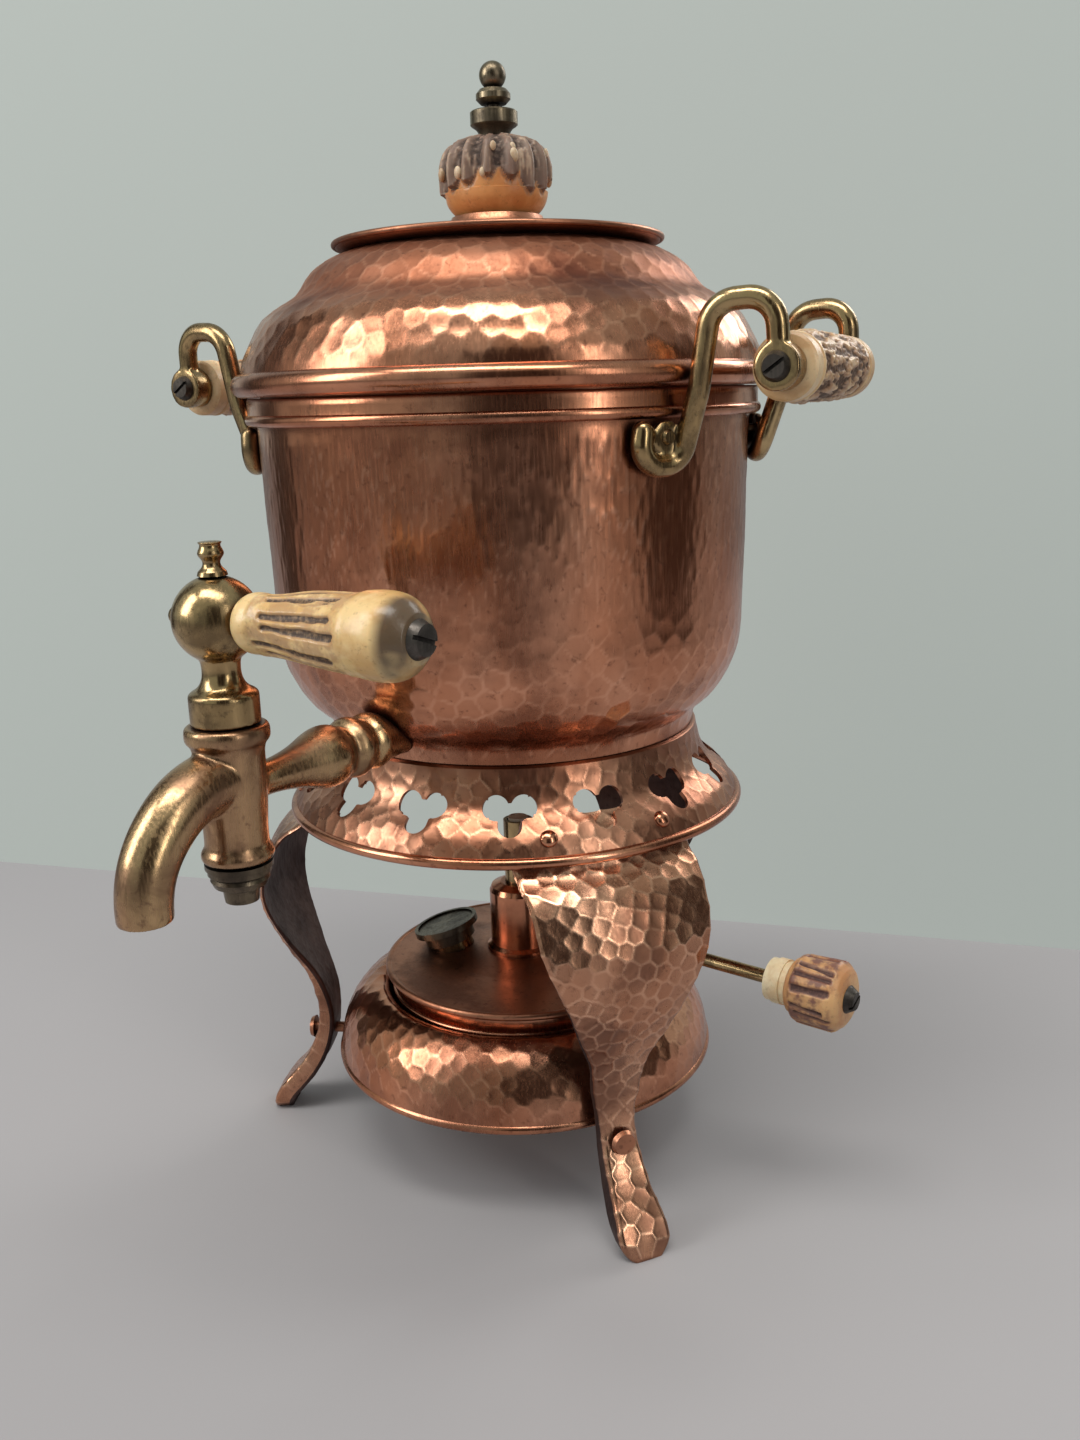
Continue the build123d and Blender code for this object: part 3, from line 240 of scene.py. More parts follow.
def revolved(name: str, section: Section, body: str, step: float) -> Piece:
    """Turns a closed section round the urn's axis.

    Args:
        name: Name of the piece.
        section: Closed section in radius and height.
        body: CAD body that the piece rides on.
        step: Distance between columns at the largest radius, in millimetres.

    Returns:
        The new object.
    """
    rows, hammer, marks = section.joined()
    columns = max(24, int(2 * pi * rows[:, 0].max() / step))
    turn = np.arange(columns) * 2 * pi / columns
    verts = np.stack([np.outer(rows[:, 0], np.sin(turn)), -np.outer(rows[:, 0], np.cos(turn)),
                      np.repeat(rows[:, 1][:, None], columns, axis=1)], axis=2).reshape(-1, 3)
    shares = {"hammer": np.repeat(hammer, columns), "marks": np.repeat(marks, columns)}
    return make_object(name, verts, grid_faces(len(rows), columns, True, True), body, shares)


def realise(made: Piece, tree: bpy.types.NodeTree, **values: object) -> Piece:
    """Runs a geometry tree on an object and keeps its result as a plain mesh.

    Args:
        made: Object to change.
        tree: Geometry tree, whose inputs are named by values.
        **values: Input name, with _ for a space, and its value.

    Returns:
        The same object.
    """
    modifier = made.modifiers.new(tree.name, "NODES")
    modifier.node_group = tree
    for item in tree.interface.items_tree:
        key = item.name.replace(" ", "_").lower()
        if item.item_type == "SOCKET" and item.in_out == "INPUT" and key in values:
            modifier[item.identifier] = values[key]
    graph = bpy.context.evaluated_depsgraph_get()
    graph.update()
    shown = bpy.data.meshes.new_from_object(made.evaluated_get(graph), preserve_all_data_layers=True,
                                            depsgraph=graph)
    made.modifiers.remove(modifier)
    old, made.data = made.data, shown
    bpy.data.meshes.remove(old)
    return made


# Node trees


class Tree:
    """Short way to write a node tree.

    Attributes:
        tree: The node tree that is written.
    """

    def __init__(self, tree: bpy.types.NodeTree) -> None:
        """Starts writing in a tree."""
        self.tree = tree

    def socket(self, name: str, kind: str, value: object = None, out: bool = False) -> None:
        """Adds a named input or output to the tree.

        Args:
            name: Its name.
            kind: Type of the socket.
            value: Its value where nothing is linked; the type's own if left out.
            out: Whether it is an output.
        """
        made = self.tree.interface.new_socket(name, in_out="OUTPUT" if out else "INPUT", socket_type=kind)
        if value is not None:
            made.default_value = value

    def node(self, kind: str, ins: Optional[dict] = None, **settings: object) -> bpy.types.Node:
        """Adds a node.

        Args:
            kind: Node type.
            ins: Input number or name, and a value or a socket to link.
            **settings: Properties of the node.

        Returns:
            The node.
        """
        made = self.tree.nodes.new(kind)
        for key, value in settings.items():
            setattr(made, key, value)
        for key, value in (ins or {}).items():
            if isinstance(value, Socket):
                self.tree.links.new(value, made.inputs[key])
            else:
                made.inputs[key].default_value = value
        return made

    def math(self, operation: str, a: object, b: object = 0.0, clamp: bool = False) -> Socket:
        """Result of a math node."""
        return self.node("ShaderNodeMath", {0: a, 1: b}, operation=operation, use_clamp=clamp).outputs[0]

    def ramp(self, value: object, low: float, high: float, out_low: float = 0.0,
             out_high: float = 1.0) -> Socket:
        """Adds a smooth step of a value between two limits.

        Args:
            value: Number or socket.
            low: Value at which the step starts.
            high: Value at which it ends.
            out_low: Result at the start.
            out_high: Result at the end.

        Returns:
            Socket with the result.
        """
        made = self.node("ShaderNodeMapRange", {"Value": value, "From Min": low, "From Max": high,
                                                "To Min": out_low, "To Max": out_high})
        made.interpolation_type = "SMOOTHSTEP"
        return made.outputs[0]

    def mix(self, share: object, a: object, b: object) -> Socket:
        """Mixes two colours.

        Args:
            share: Share of the second colour.
            a: First colour, as a tuple or a socket.
            b: Second colour.

        Returns:
            Socket with the mixed colour.
        """
        made = self.node("ShaderNodeMix", data_type="RGBA")
        for socket, value in ((made.inputs[0], share), (made.inputs[6], a), (made.inputs[7], b)):
            if isinstance(value, Socket):
                self.tree.links.new(value, socket)
            else:
                socket.default_value = (*value, 1.0) if isinstance(value, tuple) else value
        return made.outputs[2]

    def noise(self, where: object, scale: float, detail: float = 3.0, rough: float = 0.55,
              warp: float = 0.0) -> Socket:
        """Value of a noise texture."""
        return self.node("ShaderNodeTexNoise", {"Vector": where, "Scale": scale, "Detail": detail,
                                                "Roughness": rough, "Distortion": warp}).outputs[0]

    def vector(self, operation: str, a: object, b: object = None) -> Socket:
        """Adds a vector math node.

        Args:
            operation: Its operation.
            a: First vector.
            b: Second vector, or the factor of SCALE; none for an operation with one input.

        Returns:
            Socket with the number that DISTANCE gives, or the vector that the others give.
        """
        ins = {0: a} if b is None else {0: a, "Scale" if operation == "SCALE" else 1: b}
        made = self.node("ShaderNodeVectorMath", ins, operation=operation)
        return made.outputs["Value" if operation == "DISTANCE" else "Vector"]

    def attribute(self, name: object, kind: str = "FLOAT") -> Socket:
        """Value of a named attribute in a geometry tree."""
        return self.node("GeometryNodeInputNamedAttribute", {"Name": name}, data_type=kind).outputs[0]

    def painted(self, name: str) -> Socket:
        """Value of a named attribute in a material."""
        return self.node("ShaderNodeAttribute", attribute_name=name).outputs["Fac"]

    def nearest(self, points: object, place: object) -> bpy.types.bpy_prop_collection:
        """Outputs Position and Distance of the nearest of some points to a place."""
        return self.node("GeometryNodeProximity", {"Geometry": points, "Sample Position": place},
                         target_element="POINTS").outputs

    def raised(self, geometry: object, height: object) -> Socket:
        """Geometry whose points are moved along their normals by a height."""
        offset = self.vector("SCALE", self.node("GeometryNodeInputNormal").outputs[0], height)
        return self.node("GeometryNodeSetPosition", {"Geometry": geometry, "Offset": offset}).outputs[0]

    def stored(self, geometry: object, name: str, value: object) -> Socket:
        """Geometry whose points keep a value as a named attribute."""
        ins = {"Geometry": geometry, "Name": name, "Value": value}
        return self.node("GeometryNodeStoreNamedAttribute", ins, data_type="FLOAT", domain="POINT").outputs[0]


def geometry_tree(name: str) -> Tree:
    """Starts a geometry tree with one geometry in and one out.

    Args:
        name: Name of the tree.

    Returns:
        The tree, to be written on.
    """
    tree = Tree(bpy.data.node_groups.new(name, "GeometryNodeTree"))
    tree.socket("Geometry", "NodeSocketGeometry")
    tree.socket("Geometry", "NodeSocketGeometry", out=True)
    return tree


def close_tree(tree: Tree, geometry: Socket, material: Socket) -> None:
    """Ends a geometry tree with its instances realised and its material set.

    Args:
        tree: Tree to end.
        geometry: Its last geometry.
        material: Material that the result takes.
    """
    plain = tree.node("GeometryNodeRealizeInstances", {0: geometry})
    dressed = tree.node("GeometryNodeSetMaterial", {"Geometry": plain.outputs[0], "Material": material})
    tree.node("NodeGroupOutput", {0: dressed.outputs[0]})


def relief_tree() -> bpy.types.NodeTree:
    """Makes the tree that strikes a surface: bowls round scattered blows, with thin ridges between them.

    Returns:
        The tree. It moves points along their normals and adds the ridges to the attribute relief.
    """
    tree = geometry_tree("Struck surface")
    for name, value in (("Spacing", 0.006), ("Depth", 0.0001), ("Wave Depth", 0.0), ("Wave Scale", 30.0)):
        tree.socket(name, "NodeSocketFloat", value)
    tree.socket("Squash", "NodeSocketVector", (1.0, 1.0, 1.0))
    tree.socket("Share", "NodeSocketString", "hammer")
    tree.socket("Seed", "NodeSocketInt", 1)
    tree.socket("Material", "NodeSocketMaterial")
    start = tree.node("NodeGroupInput").outputs
    spacing, seed, share = start["Spacing"], start["Seed"], tree.attribute(start["Share"])
    position = tree.node("GeometryNodeInputPosition").outputs[0]
    squashed = tree.vector("MULTIPLY", position, start["Squash"])
    flat = tree.node("GeometryNodeSetPosition", {"Geometry": start["Geometry"], "Position": squashed})

    least_share, densest, lift_share = 0.05, 1.2e6, 0.12
    blows = tree.node("GeometryNodeDistributePointsOnFaces",
                      {"Mesh": flat.outputs[0], "Selection": tree.math("GREATER_THAN", share, least_share),
                       "Distance Min": spacing, "Density Max": densest, "Seed": seed},
                      distribute_method="POISSON")
    lift = tree.node("FunctionNodeRandomValue", {2: -lift_share, 3: lift_share, "Seed": seed},
                     data_type="FLOAT")
    thrown = tree.vector("SCALE", blows.outputs["Normal"], tree.math("MULTIPLY", lift.outputs[1], spacing))
    spread = tree.node("GeometryNodeSetPosition", {"Geometry": blows.outputs[0], "Offset": thrown}).outputs[0]

    bowl_reach, farthest = 0.62, 1.4
    near = tree.nearest(spread, squashed)
    centre, distance = near["Position"], near["Distance"]
    far = tree.math("DIVIDE", distance, tree.math("MULTIPLY", spacing, bowl_reach))
    far = tree.math("MINIMUM", far, farthest)
    away = tree.vector("NORMALIZE", tree.vector("SUBTRACT", squashed, centre))
    ahead = tree.vector("ADD", tree.vector("SCALE", away, spacing), centre)
    second = tree.nearest(spread, ahead)["Position"]
    apart = tree.vector("DISTANCE", second, centre)
    other = tree.vector("DISTANCE", second, squashed)

    ridge_width, ridge_height, bowl_depth, middle = 0.17, 0.3, 0.75, 0.55
    squares = tree.math("SUBTRACT", tree.math("POWER", other, 2.0), tree.math("POWER", distance, 2.0))
    edge = tree.math("DIVIDE", squares, tree.math("MULTIPLY", tree.math("MAXIMUM", apart, 1.0e-6), 2.0))
    alone = tree.math("MULTIPLY", tree.math("LESS_THAN", apart, 1.0e-5), spacing)
    ridge = tree.ramp(tree.math("DIVIDE", tree.math("ADD", edge, alone), spacing), ridge_width, 0.0)
    facet = tree.math("MULTIPLY", tree.math("POWER", far, 2.0), bowl_depth)
    bowl = tree.math("ADD", facet, tree.math("MULTIPLY", ridge, ridge_height))
    bowl = tree.math("SUBTRACT", bowl, middle)
    uneven = tree.math("ADD", tree.noise(position, 90.0, 1.0), 0.55)
    struck = tree.math("MULTIPLY", tree.math("MULTIPLY", bowl, start["Depth"]), uneven)
    swell = tree.node("ShaderNodeTexNoise", {"Vector": position, "Scale": start["Wave Scale"], "Detail": 1.0})
    wave = tree.math("MULTIPLY", tree.math("SUBTRACT", swell.outputs[0], 0.5), start["Wave Depth"])
    height = tree.math("MULTIPLY", tree.math("ADD", struck, wave), share)
    rim = tree.math("ADD", tree.attribute("relief"), tree.math("MULTIPLY", ridge, share))
    close_tree(tree, tree.stored(tree.raised(start["Geometry"], height), "relief", rim), start["Material"])
    return tree.tree


def hide_tree() -> bpy.types.NodeTree:
    """Makes the tree that gives antler its long pits and ridges where the share named skin is high.

    Returns:
        The tree. It keeps how deep each point lies as the attribute groove.
    """
    tree = geometry_tree("Antler surface")
    for name, value in (("Depth", 0.0006), ("Cover", 0.5), ("Scale", 160.0), ("Fluted", 0.0)):
        tree.socket(name, "NodeSocketFloat", value)
    tree.socket("Material", "NodeSocketMaterial")
    start = tree.node("NodeGroupInput").outputs
    own, skin = tree.attribute("own", "FLOAT_VECTOR"), tree.attribute("skin")
    grain = tree.node("ShaderNodeTexNoise", {"Vector": own, "Scale": start["Scale"], "Detail": 2.5,
                                             "Roughness": 0.6, "Distortion": 0.25}).outputs[0]
    cut = tree.math("MULTIPLY", tree.math("SUBTRACT", tree.attribute("flute"), 0.5), start["Fluted"])
    edge = tree.math("SUBTRACT", 1.0, start["Cover"])
    before_edge, past_edge, lumps = 0.10, 0.12, 0.8
    pit = tree.node("ShaderNodeMapRange", {"Value": tree.math("ADD", grain, cut),
                                           "From Min": tree.math("SUBTRACT", edge, before_edge),
                                           "From Max": tree.math("ADD", edge, past_edge)})
    pit.interpolation_type = "SMOOTHSTEP"
    deep = tree.math("MULTIPLY", pit.outputs[0], skin)
    lump = tree.math("MULTIPLY", tree.math("SUBTRACT", tree.noise(own, 60.0, 2.0), 0.5), lumps)
    sunk = tree.math("SUBTRACT", tree.math("MULTIPLY", lump, skin), deep)
    height = tree.math("MULTIPLY", sunk, start["Depth"])
    close_tree(tree, tree.stored(tree.raised(start["Geometry"], height), "groove", deep), start["Material"])
    return tree.tree


def beads_tree() -> bpy.types.NodeTree:
    """Makes the tree that sets a flattened ball on each point, pressed along the point's own normal.

    Returns:
        The tree. The points carry their normals as facing and their sizes as size.
    """
    tree = geometry_tree("Set beads")
    for name, value in (("Radius", 0.0027), ("Flatness", 0.6), ("Length", 1.0)):
        tree.socket(name, "NodeSocketFloat", value)
    tree.socket("Material", "NodeSocketMaterial")
    start = tree.node("NodeGroupInput").outputs
    ball = tree.node("GeometryNodeMeshUVSphere", {"Segments": 28, "Rings": 18, "Radius": start["Radius"]})
    shape = tree.node("ShaderNodeCombineXYZ", {0: start["Length"], 1: 1.0, 2: start["Flatness"]})
    pressed = tree.node("GeometryNodeTransform", {"Geometry": ball.outputs[0], "Scale": shape.outputs[0]})
    smooth = tree.node("GeometryNodeSetShadeSmooth", {0: pressed.outputs[0]})
    look, size = tree.attribute("facing", "FLOAT_VECTOR"), tree.attribute("size")
    upright = tree.node("FunctionNodeAlignRotationToVector", {"Vector": look}, axis="Z")
    hung = tree.node("FunctionNodeAlignRotationToVector",
                     {"Rotation": upright.outputs[0], "Vector": (0.0, 0.0, 1.0)}, axis="X", pivot_axis="Z")
    points = tree.node("GeometryNodeMeshToPoints", {0: start["Geometry"]})
    placed = tree.node("GeometryNodeInstanceOnPoints", {"Points": points.outputs[0],
                                                        "Instance": smooth.outputs[0],
                                                        "Rotation": hung.outputs[0], "Scale": size})
    close_tree(tree, placed.outputs[0], start["Material"])
    return tree.tree


# Finishes


def patina_group() -> bpy.types.NodeTree:
    """Makes the group with the masks that all the metals share: stains, haze, spots and fine scratches.

    Returns:
        The group. Its input Vector takes the place on the object.
    """
    tree = Tree(bpy.data.node_groups.new("Patina", "ShaderNodeTree"))
    tree.socket("Vector", "NodeSocketVector")
    tree.socket("Stain Scale", "NodeSocketFloat", 40.0)
    for name in ("Stain", "Haze", "Spots", "Scratches"):
        tree.socket(name, "NodeSocketFloat", out=True)
    start = tree.node("NodeGroupInput").outputs
    stain = tree.node("ShaderNodeTexNoise", {"Vector": start["Vector"], "Scale": start["Stain Scale"],
                                             "Detail": 5.0, "Roughness": 0.62, "Distortion": 0.4}).outputs[0]
    haze = tree.noise(tree.vector("MULTIPLY", start["Vector"], (1.0, 1.0, 0.35)), 28.0, 4.0)
    spots = tree.noise(start["Vector"], 420.0, 3.0, 0.7)
    hair = tree.noise(tree.vector("MULTIPLY", start["Vector"], (1.0, 1.0, 0.08)), 1400.0, 2.0)
    tree.node("NodeGroupOutput", {"Stain": tree.ramp(stain, 0.42, 0.66), "Haze": tree.ramp(haze, 0.35, 0.7),
                                  "Spots": tree.ramp(spots, 0.56, 0.72),
                                  "Scratches": tree.ramp(hair, 0.4, 0.7)})
    return tree.tree


def crease_group() -> bpy.types.NodeTree:
    """Makes the group that finds creases by ambient occlusion, for the metals to darken as patina with painted
    shade.

    Returns:
        The group. Its input Reach is the size of the creases in metres.
    """
    tree = Tree(bpy.data.node_groups.new("Creases", "ShaderNodeTree"))
    tree.socket("Reach", "NodeSocketFloat", 0.004)
    tree.socket("Crease", "NodeSocketFloat", out=True)
    start = tree.node("NodeGroupInput").outputs
    shade = tree.node("ShaderNodeAmbientOcclusion", {"Distance": start["Reach"]}, samples=6)
    tree.node("NodeGroupOutput", {"Crease": tree.ramp(shade.outputs["AO"], 0.92, 0.45)})
    return tree.tree


@dataclass(frozen=True)
class Finish:
    """A metal finish.

    Attributes:
        name: Material's name.
        base: Main colour of the metal.
        bright: Colour of the painted highlight on the ridges between hammer marks.
        stain: Colour of its patina.
        rough: Roughness of the clean metal.
        spread: How much rougher the stained metal is.
        stained: Share of the patina, from 0 to 1.
        creased: How dark its creases are, from 0 to 1: patina there, with painted shade found by ambient
            occlusion.
        struck: Strength of the painted highlight on the hammer ridges, and of a darker tone that carries
            painted shade on the dome's crown, from 0 to 1.
        grain: Strength of the finest scratches and spots.
        stain_scale: Size of its patina's patches, per metre.
    """

    name: str
    base: Colour
    bright: Colour
    stain: Colour
    rough: float = 0.25
    spread: float = 0.2
    stained: float = 0.4
    creased: float = 0.7
    struck: float = 0.0
    grain: float = 0.1
    stain_scale: float = 40.0

    def build(self, patina: bpy.types.NodeTree, crease: bpy.types.NodeTree) -> bpy.types.Material:
        """Builds the material.

        Args:
            patina: Group with the shared masks.
            crease: Group that finds the creases.

        Returns:
            The material.
        """
        made = bpy.data.materials.new(self.name)
        made.use_nodes = True
        tree = Tree(made.node_tree)
        made.node_tree.nodes.clear()
        where = tree.node("ShaderNodeTexCoord").outputs["Object"]
        masks = tree.node("ShaderNodeGroup", node_tree=patina)
        tree.tree.links.new(where, masks.inputs["Vector"])
        masks.inputs["Stain Scale"].default_value = self.stain_scale
        folds = tree.node("ShaderNodeGroup", node_tree=crease).outputs["Crease"]
        relief, dull = tree.painted("relief"), tree.painted("dull")
        # The ridges between hammer marks are painted lighter, towards bright, in patches, and lose patina
        # there: a painted highlight.
        patchy = tree.ramp(tree.noise(where, 75.0, 2.0), 0.35, 0.65, 0.3, 1.0)
        ridge = tree.math("MULTIPLY", tree.math("MULTIPLY", tree.ramp(relief, 0.1, 0.95), patchy), self.struck)
        # hollow darkens all struck metal a little, and more where the attribute dull is set: painted shade on
        # the dome's crown.
        hollow = tree.math("MULTIPLY", tree.math("ADD", dull, 0.15), self.struck)
        stained = tree.math("MULTIPLY", masks.outputs["Stain"], self.stained)
        # Creases found by ambient occlusion are darkened towards the patina colour: partly patina, partly
        # painted shade.
        crease_patina_and_shade = tree.math("MULTIPLY", folds, self.creased)
        dark = tree.math("MAXIMUM", tree.math("ADD", stained, hollow, True), crease_patina_and_shade)
        dark = tree.math("SUBTRACT", dark, tree.math("MULTIPLY", ridge, 0.5), True)
        halfway = tuple(0.5 * (a + b) for a, b in zip(self.base, self.bright))
        warm = tree.mix(masks.outputs["Haze"], self.base, halfway)
        colour = tree.mix(dark, tree.mix(ridge, warm, self.bright), self.stain)
        spotted = tree.mix(tree.math("MULTIPLY", masks.outputs["Spots"], 0.5), colour, self.stain)
        rough = tree.math("ADD", self.rough, tree.math("MULTIPLY", dark, self.spread))
        rough = tree.math("ADD", rough, tree.math("MULTIPLY", dull, 0.2))
        rough = tree.math("ADD", rough, tree.math("MULTIPLY", masks.outputs["Scratches"], self.grain), True)
        lines = tree.math("ADD", masks.outputs["Scratches"], masks.outputs["Spots"])
        bump = tree.node("ShaderNodeBump", {"Strength": self.grain, "Distance": 0.00005, "Height": lines})
        metal = tree.node("ShaderNodeBsdfPrincipled", {"Base Color": spotted, "Metallic": 1.0,
                                                       "Roughness": rough, "Normal": bump.outputs[0]})
        tree.node("ShaderNodeOutputMaterial", {0: metal.outputs[0]})
        return made


@dataclass(frozen=True)
class Hide:
    """A finish of antler, bone or cloth.

    Attributes:
        name: Material's name.
        pale: Colour of the smooth ivory.
        warm: Second colour, in patches.
        dark: Colour of the pits.
        rough: Roughness.
        glow: Share of light that passes below the surface.
        pits: How far the attribute groove darkens it.
        bark: Colour of the rough skin.
        barked: Share of that colour where the attribute skin is high.
        burnt: Colour where the attribute stain is high.
    """

    name: str
    pale: Colour
    warm: Colour
    dark: Colour
    rough: float = 0.4
    glow: float = 0.08
    pits: float = 1.0
    bark: Colour = (0.36, 0.21, 0.12)
    barked: float = 0.0
    burnt: Colour = (0.085, 0.055, 0.035)

    def build(self) -> bpy.types.Material:
        """Builds the material.

        Returns:
            The material.
        """
        made = bpy.data.materials.new(self.name)
        made.use_nodes = True
        tree = Tree(made.node_tree)
        made.node_tree.nodes.clear()
        where = tree.node("ShaderNodeTexCoord").outputs["Object"]
        groove, skin, stain = tree.painted("groove"), tree.painted("skin"), tree.painted("stain")
        patch = tree.ramp(tree.noise(where, 85.0, 4.0), 0.42, 0.62)
        fleck = tree.ramp(tree.noise(where, 620.0, 3.0, 0.7), 0.55, 0.75)
        rust = tree.ramp(tree.noise(where, 260.0, 3.0), 0.38, 0.6)
        body = tree.mix(patch, self.pale, self.warm)
        rusty = tree.math("MULTIPLY", tree.math("MULTIPLY", skin, rust), self.barked)
        body = tree.mix(rusty, body, self.bark)
        patchy = tree.math("MULTIPLY", stain, tree.ramp(tree.noise(where, 90.0, 2.0), 0.3, 0.55, 0.35, 0.95))
        body = tree.mix(patchy, body, self.burnt)
        body = tree.mix(tree.math("MULTIPLY", fleck, 0.35), body, self.dark)
        rim = tree.math("MULTIPLY", tree.ramp(groove, 0.03, 0.4), 0.8 * self.pits)
        body = tree.mix(rim, body, self.bark)
        speck = tree.ramp(tree.noise(where, 900.0, 2.0), 0.25, 0.6, 0.55, 1.0)
        deep = tree.math("MULTIPLY", tree.math("MULTIPLY", tree.ramp(groove, 0.35, 0.9), speck), self.pits)
        colour = tree.mix(deep, body, self.dark)
        bump = tree.node("ShaderNodeBump", {"Strength": 0.25, "Distance": 0.0002,
                                            "Height": tree.noise(where, 900.0, 3.0)})
        rough = tree.math("ADD", self.rough, tree.math("MULTIPLY", deep, 0.35), True)
        flesh = tree.node("ShaderNodeBsdfPrincipled", {"Base Color": colour, "Roughness": rough,
                                                       "Subsurface Weight": self.glow,
                                                       "Subsurface Scale": 0.004, "Normal": bump.outputs[0]})
        tree.node("ShaderNodeOutputMaterial", {0: flesh.outputs[0]})
        return made


class Finishes:
    """All the finishes of the urn, built once."""

    def __init__(self) -> None:
        """Builds every material."""
        patina, crease = patina_group(), crease_group()
        metals = (
            Finish("Copper", (0.55, 0.215, 0.115), (0.82, 0.44, 0.29), (0.13, 0.045, 0.028), rough=0.16,
                   spread=0.16, stained=0.62, creased=0.75, struck=0.4, grain=0.07, stain_scale=20.0),
            Finish("Copper leg", (0.50, 0.225, 0.13), (0.88, 0.53, 0.36), (0.12, 0.05, 0.035), rough=0.19,
                   spread=0.18, stained=0.62, creased=0.7, struck=0.6, grain=0.07, stain_scale=28.0),
            # A darker copy of Copper for the gallery sheet: painted shade that dims the lamps' reflections
            # there.
            Finish("Copper shaded gallery", (0.40, 0.165, 0.095), (0.70, 0.38, 0.25), (0.10, 0.04, 0.028),
                   rough=0.26, spread=0.18, stained=0.6, creased=0.75, struck=0.55, grain=0.08,
                   stain_scale=26.0),
            Finish("Copper dull", (0.42, 0.17, 0.095), (0.70, 0.35, 0.22), (0.11, 0.045, 0.03), rough=0.28,
                   stained=0.6, creased=0.8, struck=0.4, grain=0.12, stain_scale=30.0),
            # Near-black copper for the legs' inner faces and ends: painted shade.
            Finish("Copper painted shade", (0.085, 0.05, 0.045), (0.20, 0.12, 0.10), (0.035, 0.022, 0.022), rough=0.42,
                   stained=0.6, creased=0.6, struck=0.2, grain=0.15, stain_scale=26.0),
            Finish("Copper smooth", (0.56, 0.225, 0.125), (0.80, 0.42, 0.27), (0.17, 0.065, 0.04), rough=0.15,
                   spread=0.12, stained=0.4, creased=0.75, grain=0.06, stain_scale=40.0),
            Finish("Brass", (0.42, 0.285, 0.14), (0.68, 0.51, 0.28), (0.06, 0.04, 0.028), rough=0.16,
                   stained=0.62, creased=1.0, grain=0.1, stain_scale=70.0),
            Finish("Brass red", (0.44, 0.265, 0.15), (0.60, 0.44, 0.22), (0.13, 0.062, 0.045), rough=0.2,
                   stained=0.62, creased=1.0, grain=0.14, stain_scale=55.0),
            Finish("Brass dark", (0.12, 0.092, 0.068), (0.36, 0.29, 0.18), (0.032, 0.027, 0.025), rough=0.26,
                   stained=0.6, creased=0.9, grain=0.2, stain_scale=90.0),
            Finish("Steel dark", (0.075, 0.065, 0.058), (0.25, 0.22, 0.2), (0.018, 0.016, 0.015), rough=0.36,
                   stained=0.5, creased=0.8, grain=0.25, stain_scale=150.0),
        )
        hides = (
            Hide("Antler", (0.66, 0.48, 0.27), (0.52, 0.32, 0.15), (0.07, 0.035, 0.02), rough=0.36,
                 barked=0.75),
            Hide("Antler bark", (0.58, 0.34, 0.15), (0.46, 0.22, 0.09), (0.075, 0.036, 0.032), rough=0.4,
                 bark=(0.19, 0.085, 0.06), barked=1.0),
            Hide("Antler pale", (0.72, 0.52, 0.25), (0.58, 0.36, 0.14), (0.06, 0.032, 0.018), rough=0.24,
                 bark=(0.42, 0.25, 0.12), barked=0.75),
            Hide("Antler burr", (0.40, 0.29, 0.20), (0.22, 0.14, 0.10), (0.04, 0.024, 0.018), rough=0.5,
                 bark=(0.15, 0.09, 0.065)),
            Hide("Burr pearl", (0.58, 0.46, 0.31), (0.42, 0.29, 0.17), (0.07, 0.04, 0.03), rough=0.4),
            Hide("Burr skin", (0.62, 0.29, 0.10), (0.50, 0.20, 0.06), (0.10, 0.045, 0.02), rough=0.35),
            Hide("Bone", (0.78, 0.66, 0.44), (0.66, 0.48, 0.26), (0.14, 0.08, 0.04), rough=0.35, pits=0.6),
            Hide("Wick cloth", (0.66, 0.58, 0.44), (0.5, 0.4, 0.28), (0.08, 0.06, 0.05), rough=0.9, glow=0.0),
            Hide("Gasket rubber", (0.05, 0.045, 0.04), (0.07, 0.06, 0.05), (0.02, 0.02, 0.02), rough=0.7,
                 glow=0.0),
        )
        self.all = {metal.name: metal.build(patina, crease) for metal in metals}
        self.all.update({hide.name: hide.build() for hide in hides})

    def put(self, **finishes: str) -> None:
        """Gives CAD nodes their finishes.

        Args:
            **finishes: CAD node and the name of its finish.
        """
        for node, name in finishes.items():
            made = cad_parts[node]
            made.data.materials.clear()
            made.data.materials.append(self.all[name])

    def line(self, made: Piece, name: str,
             chosen: Callable[[bpy.types.MeshPolygon], bool]) -> None:
        """Gives the chosen faces of a piece a second finish.

        Args:
            made: The piece.
            name: Name of the second finish.
            chosen: Tells whether a face takes it.
        """
        made.data.materials.append(self.all[name])
        last = len(made.data.materials) - 1
        for face in made.data.polygons:
            if chosen(face):
                face.material_index = last


# Sub-assemblies


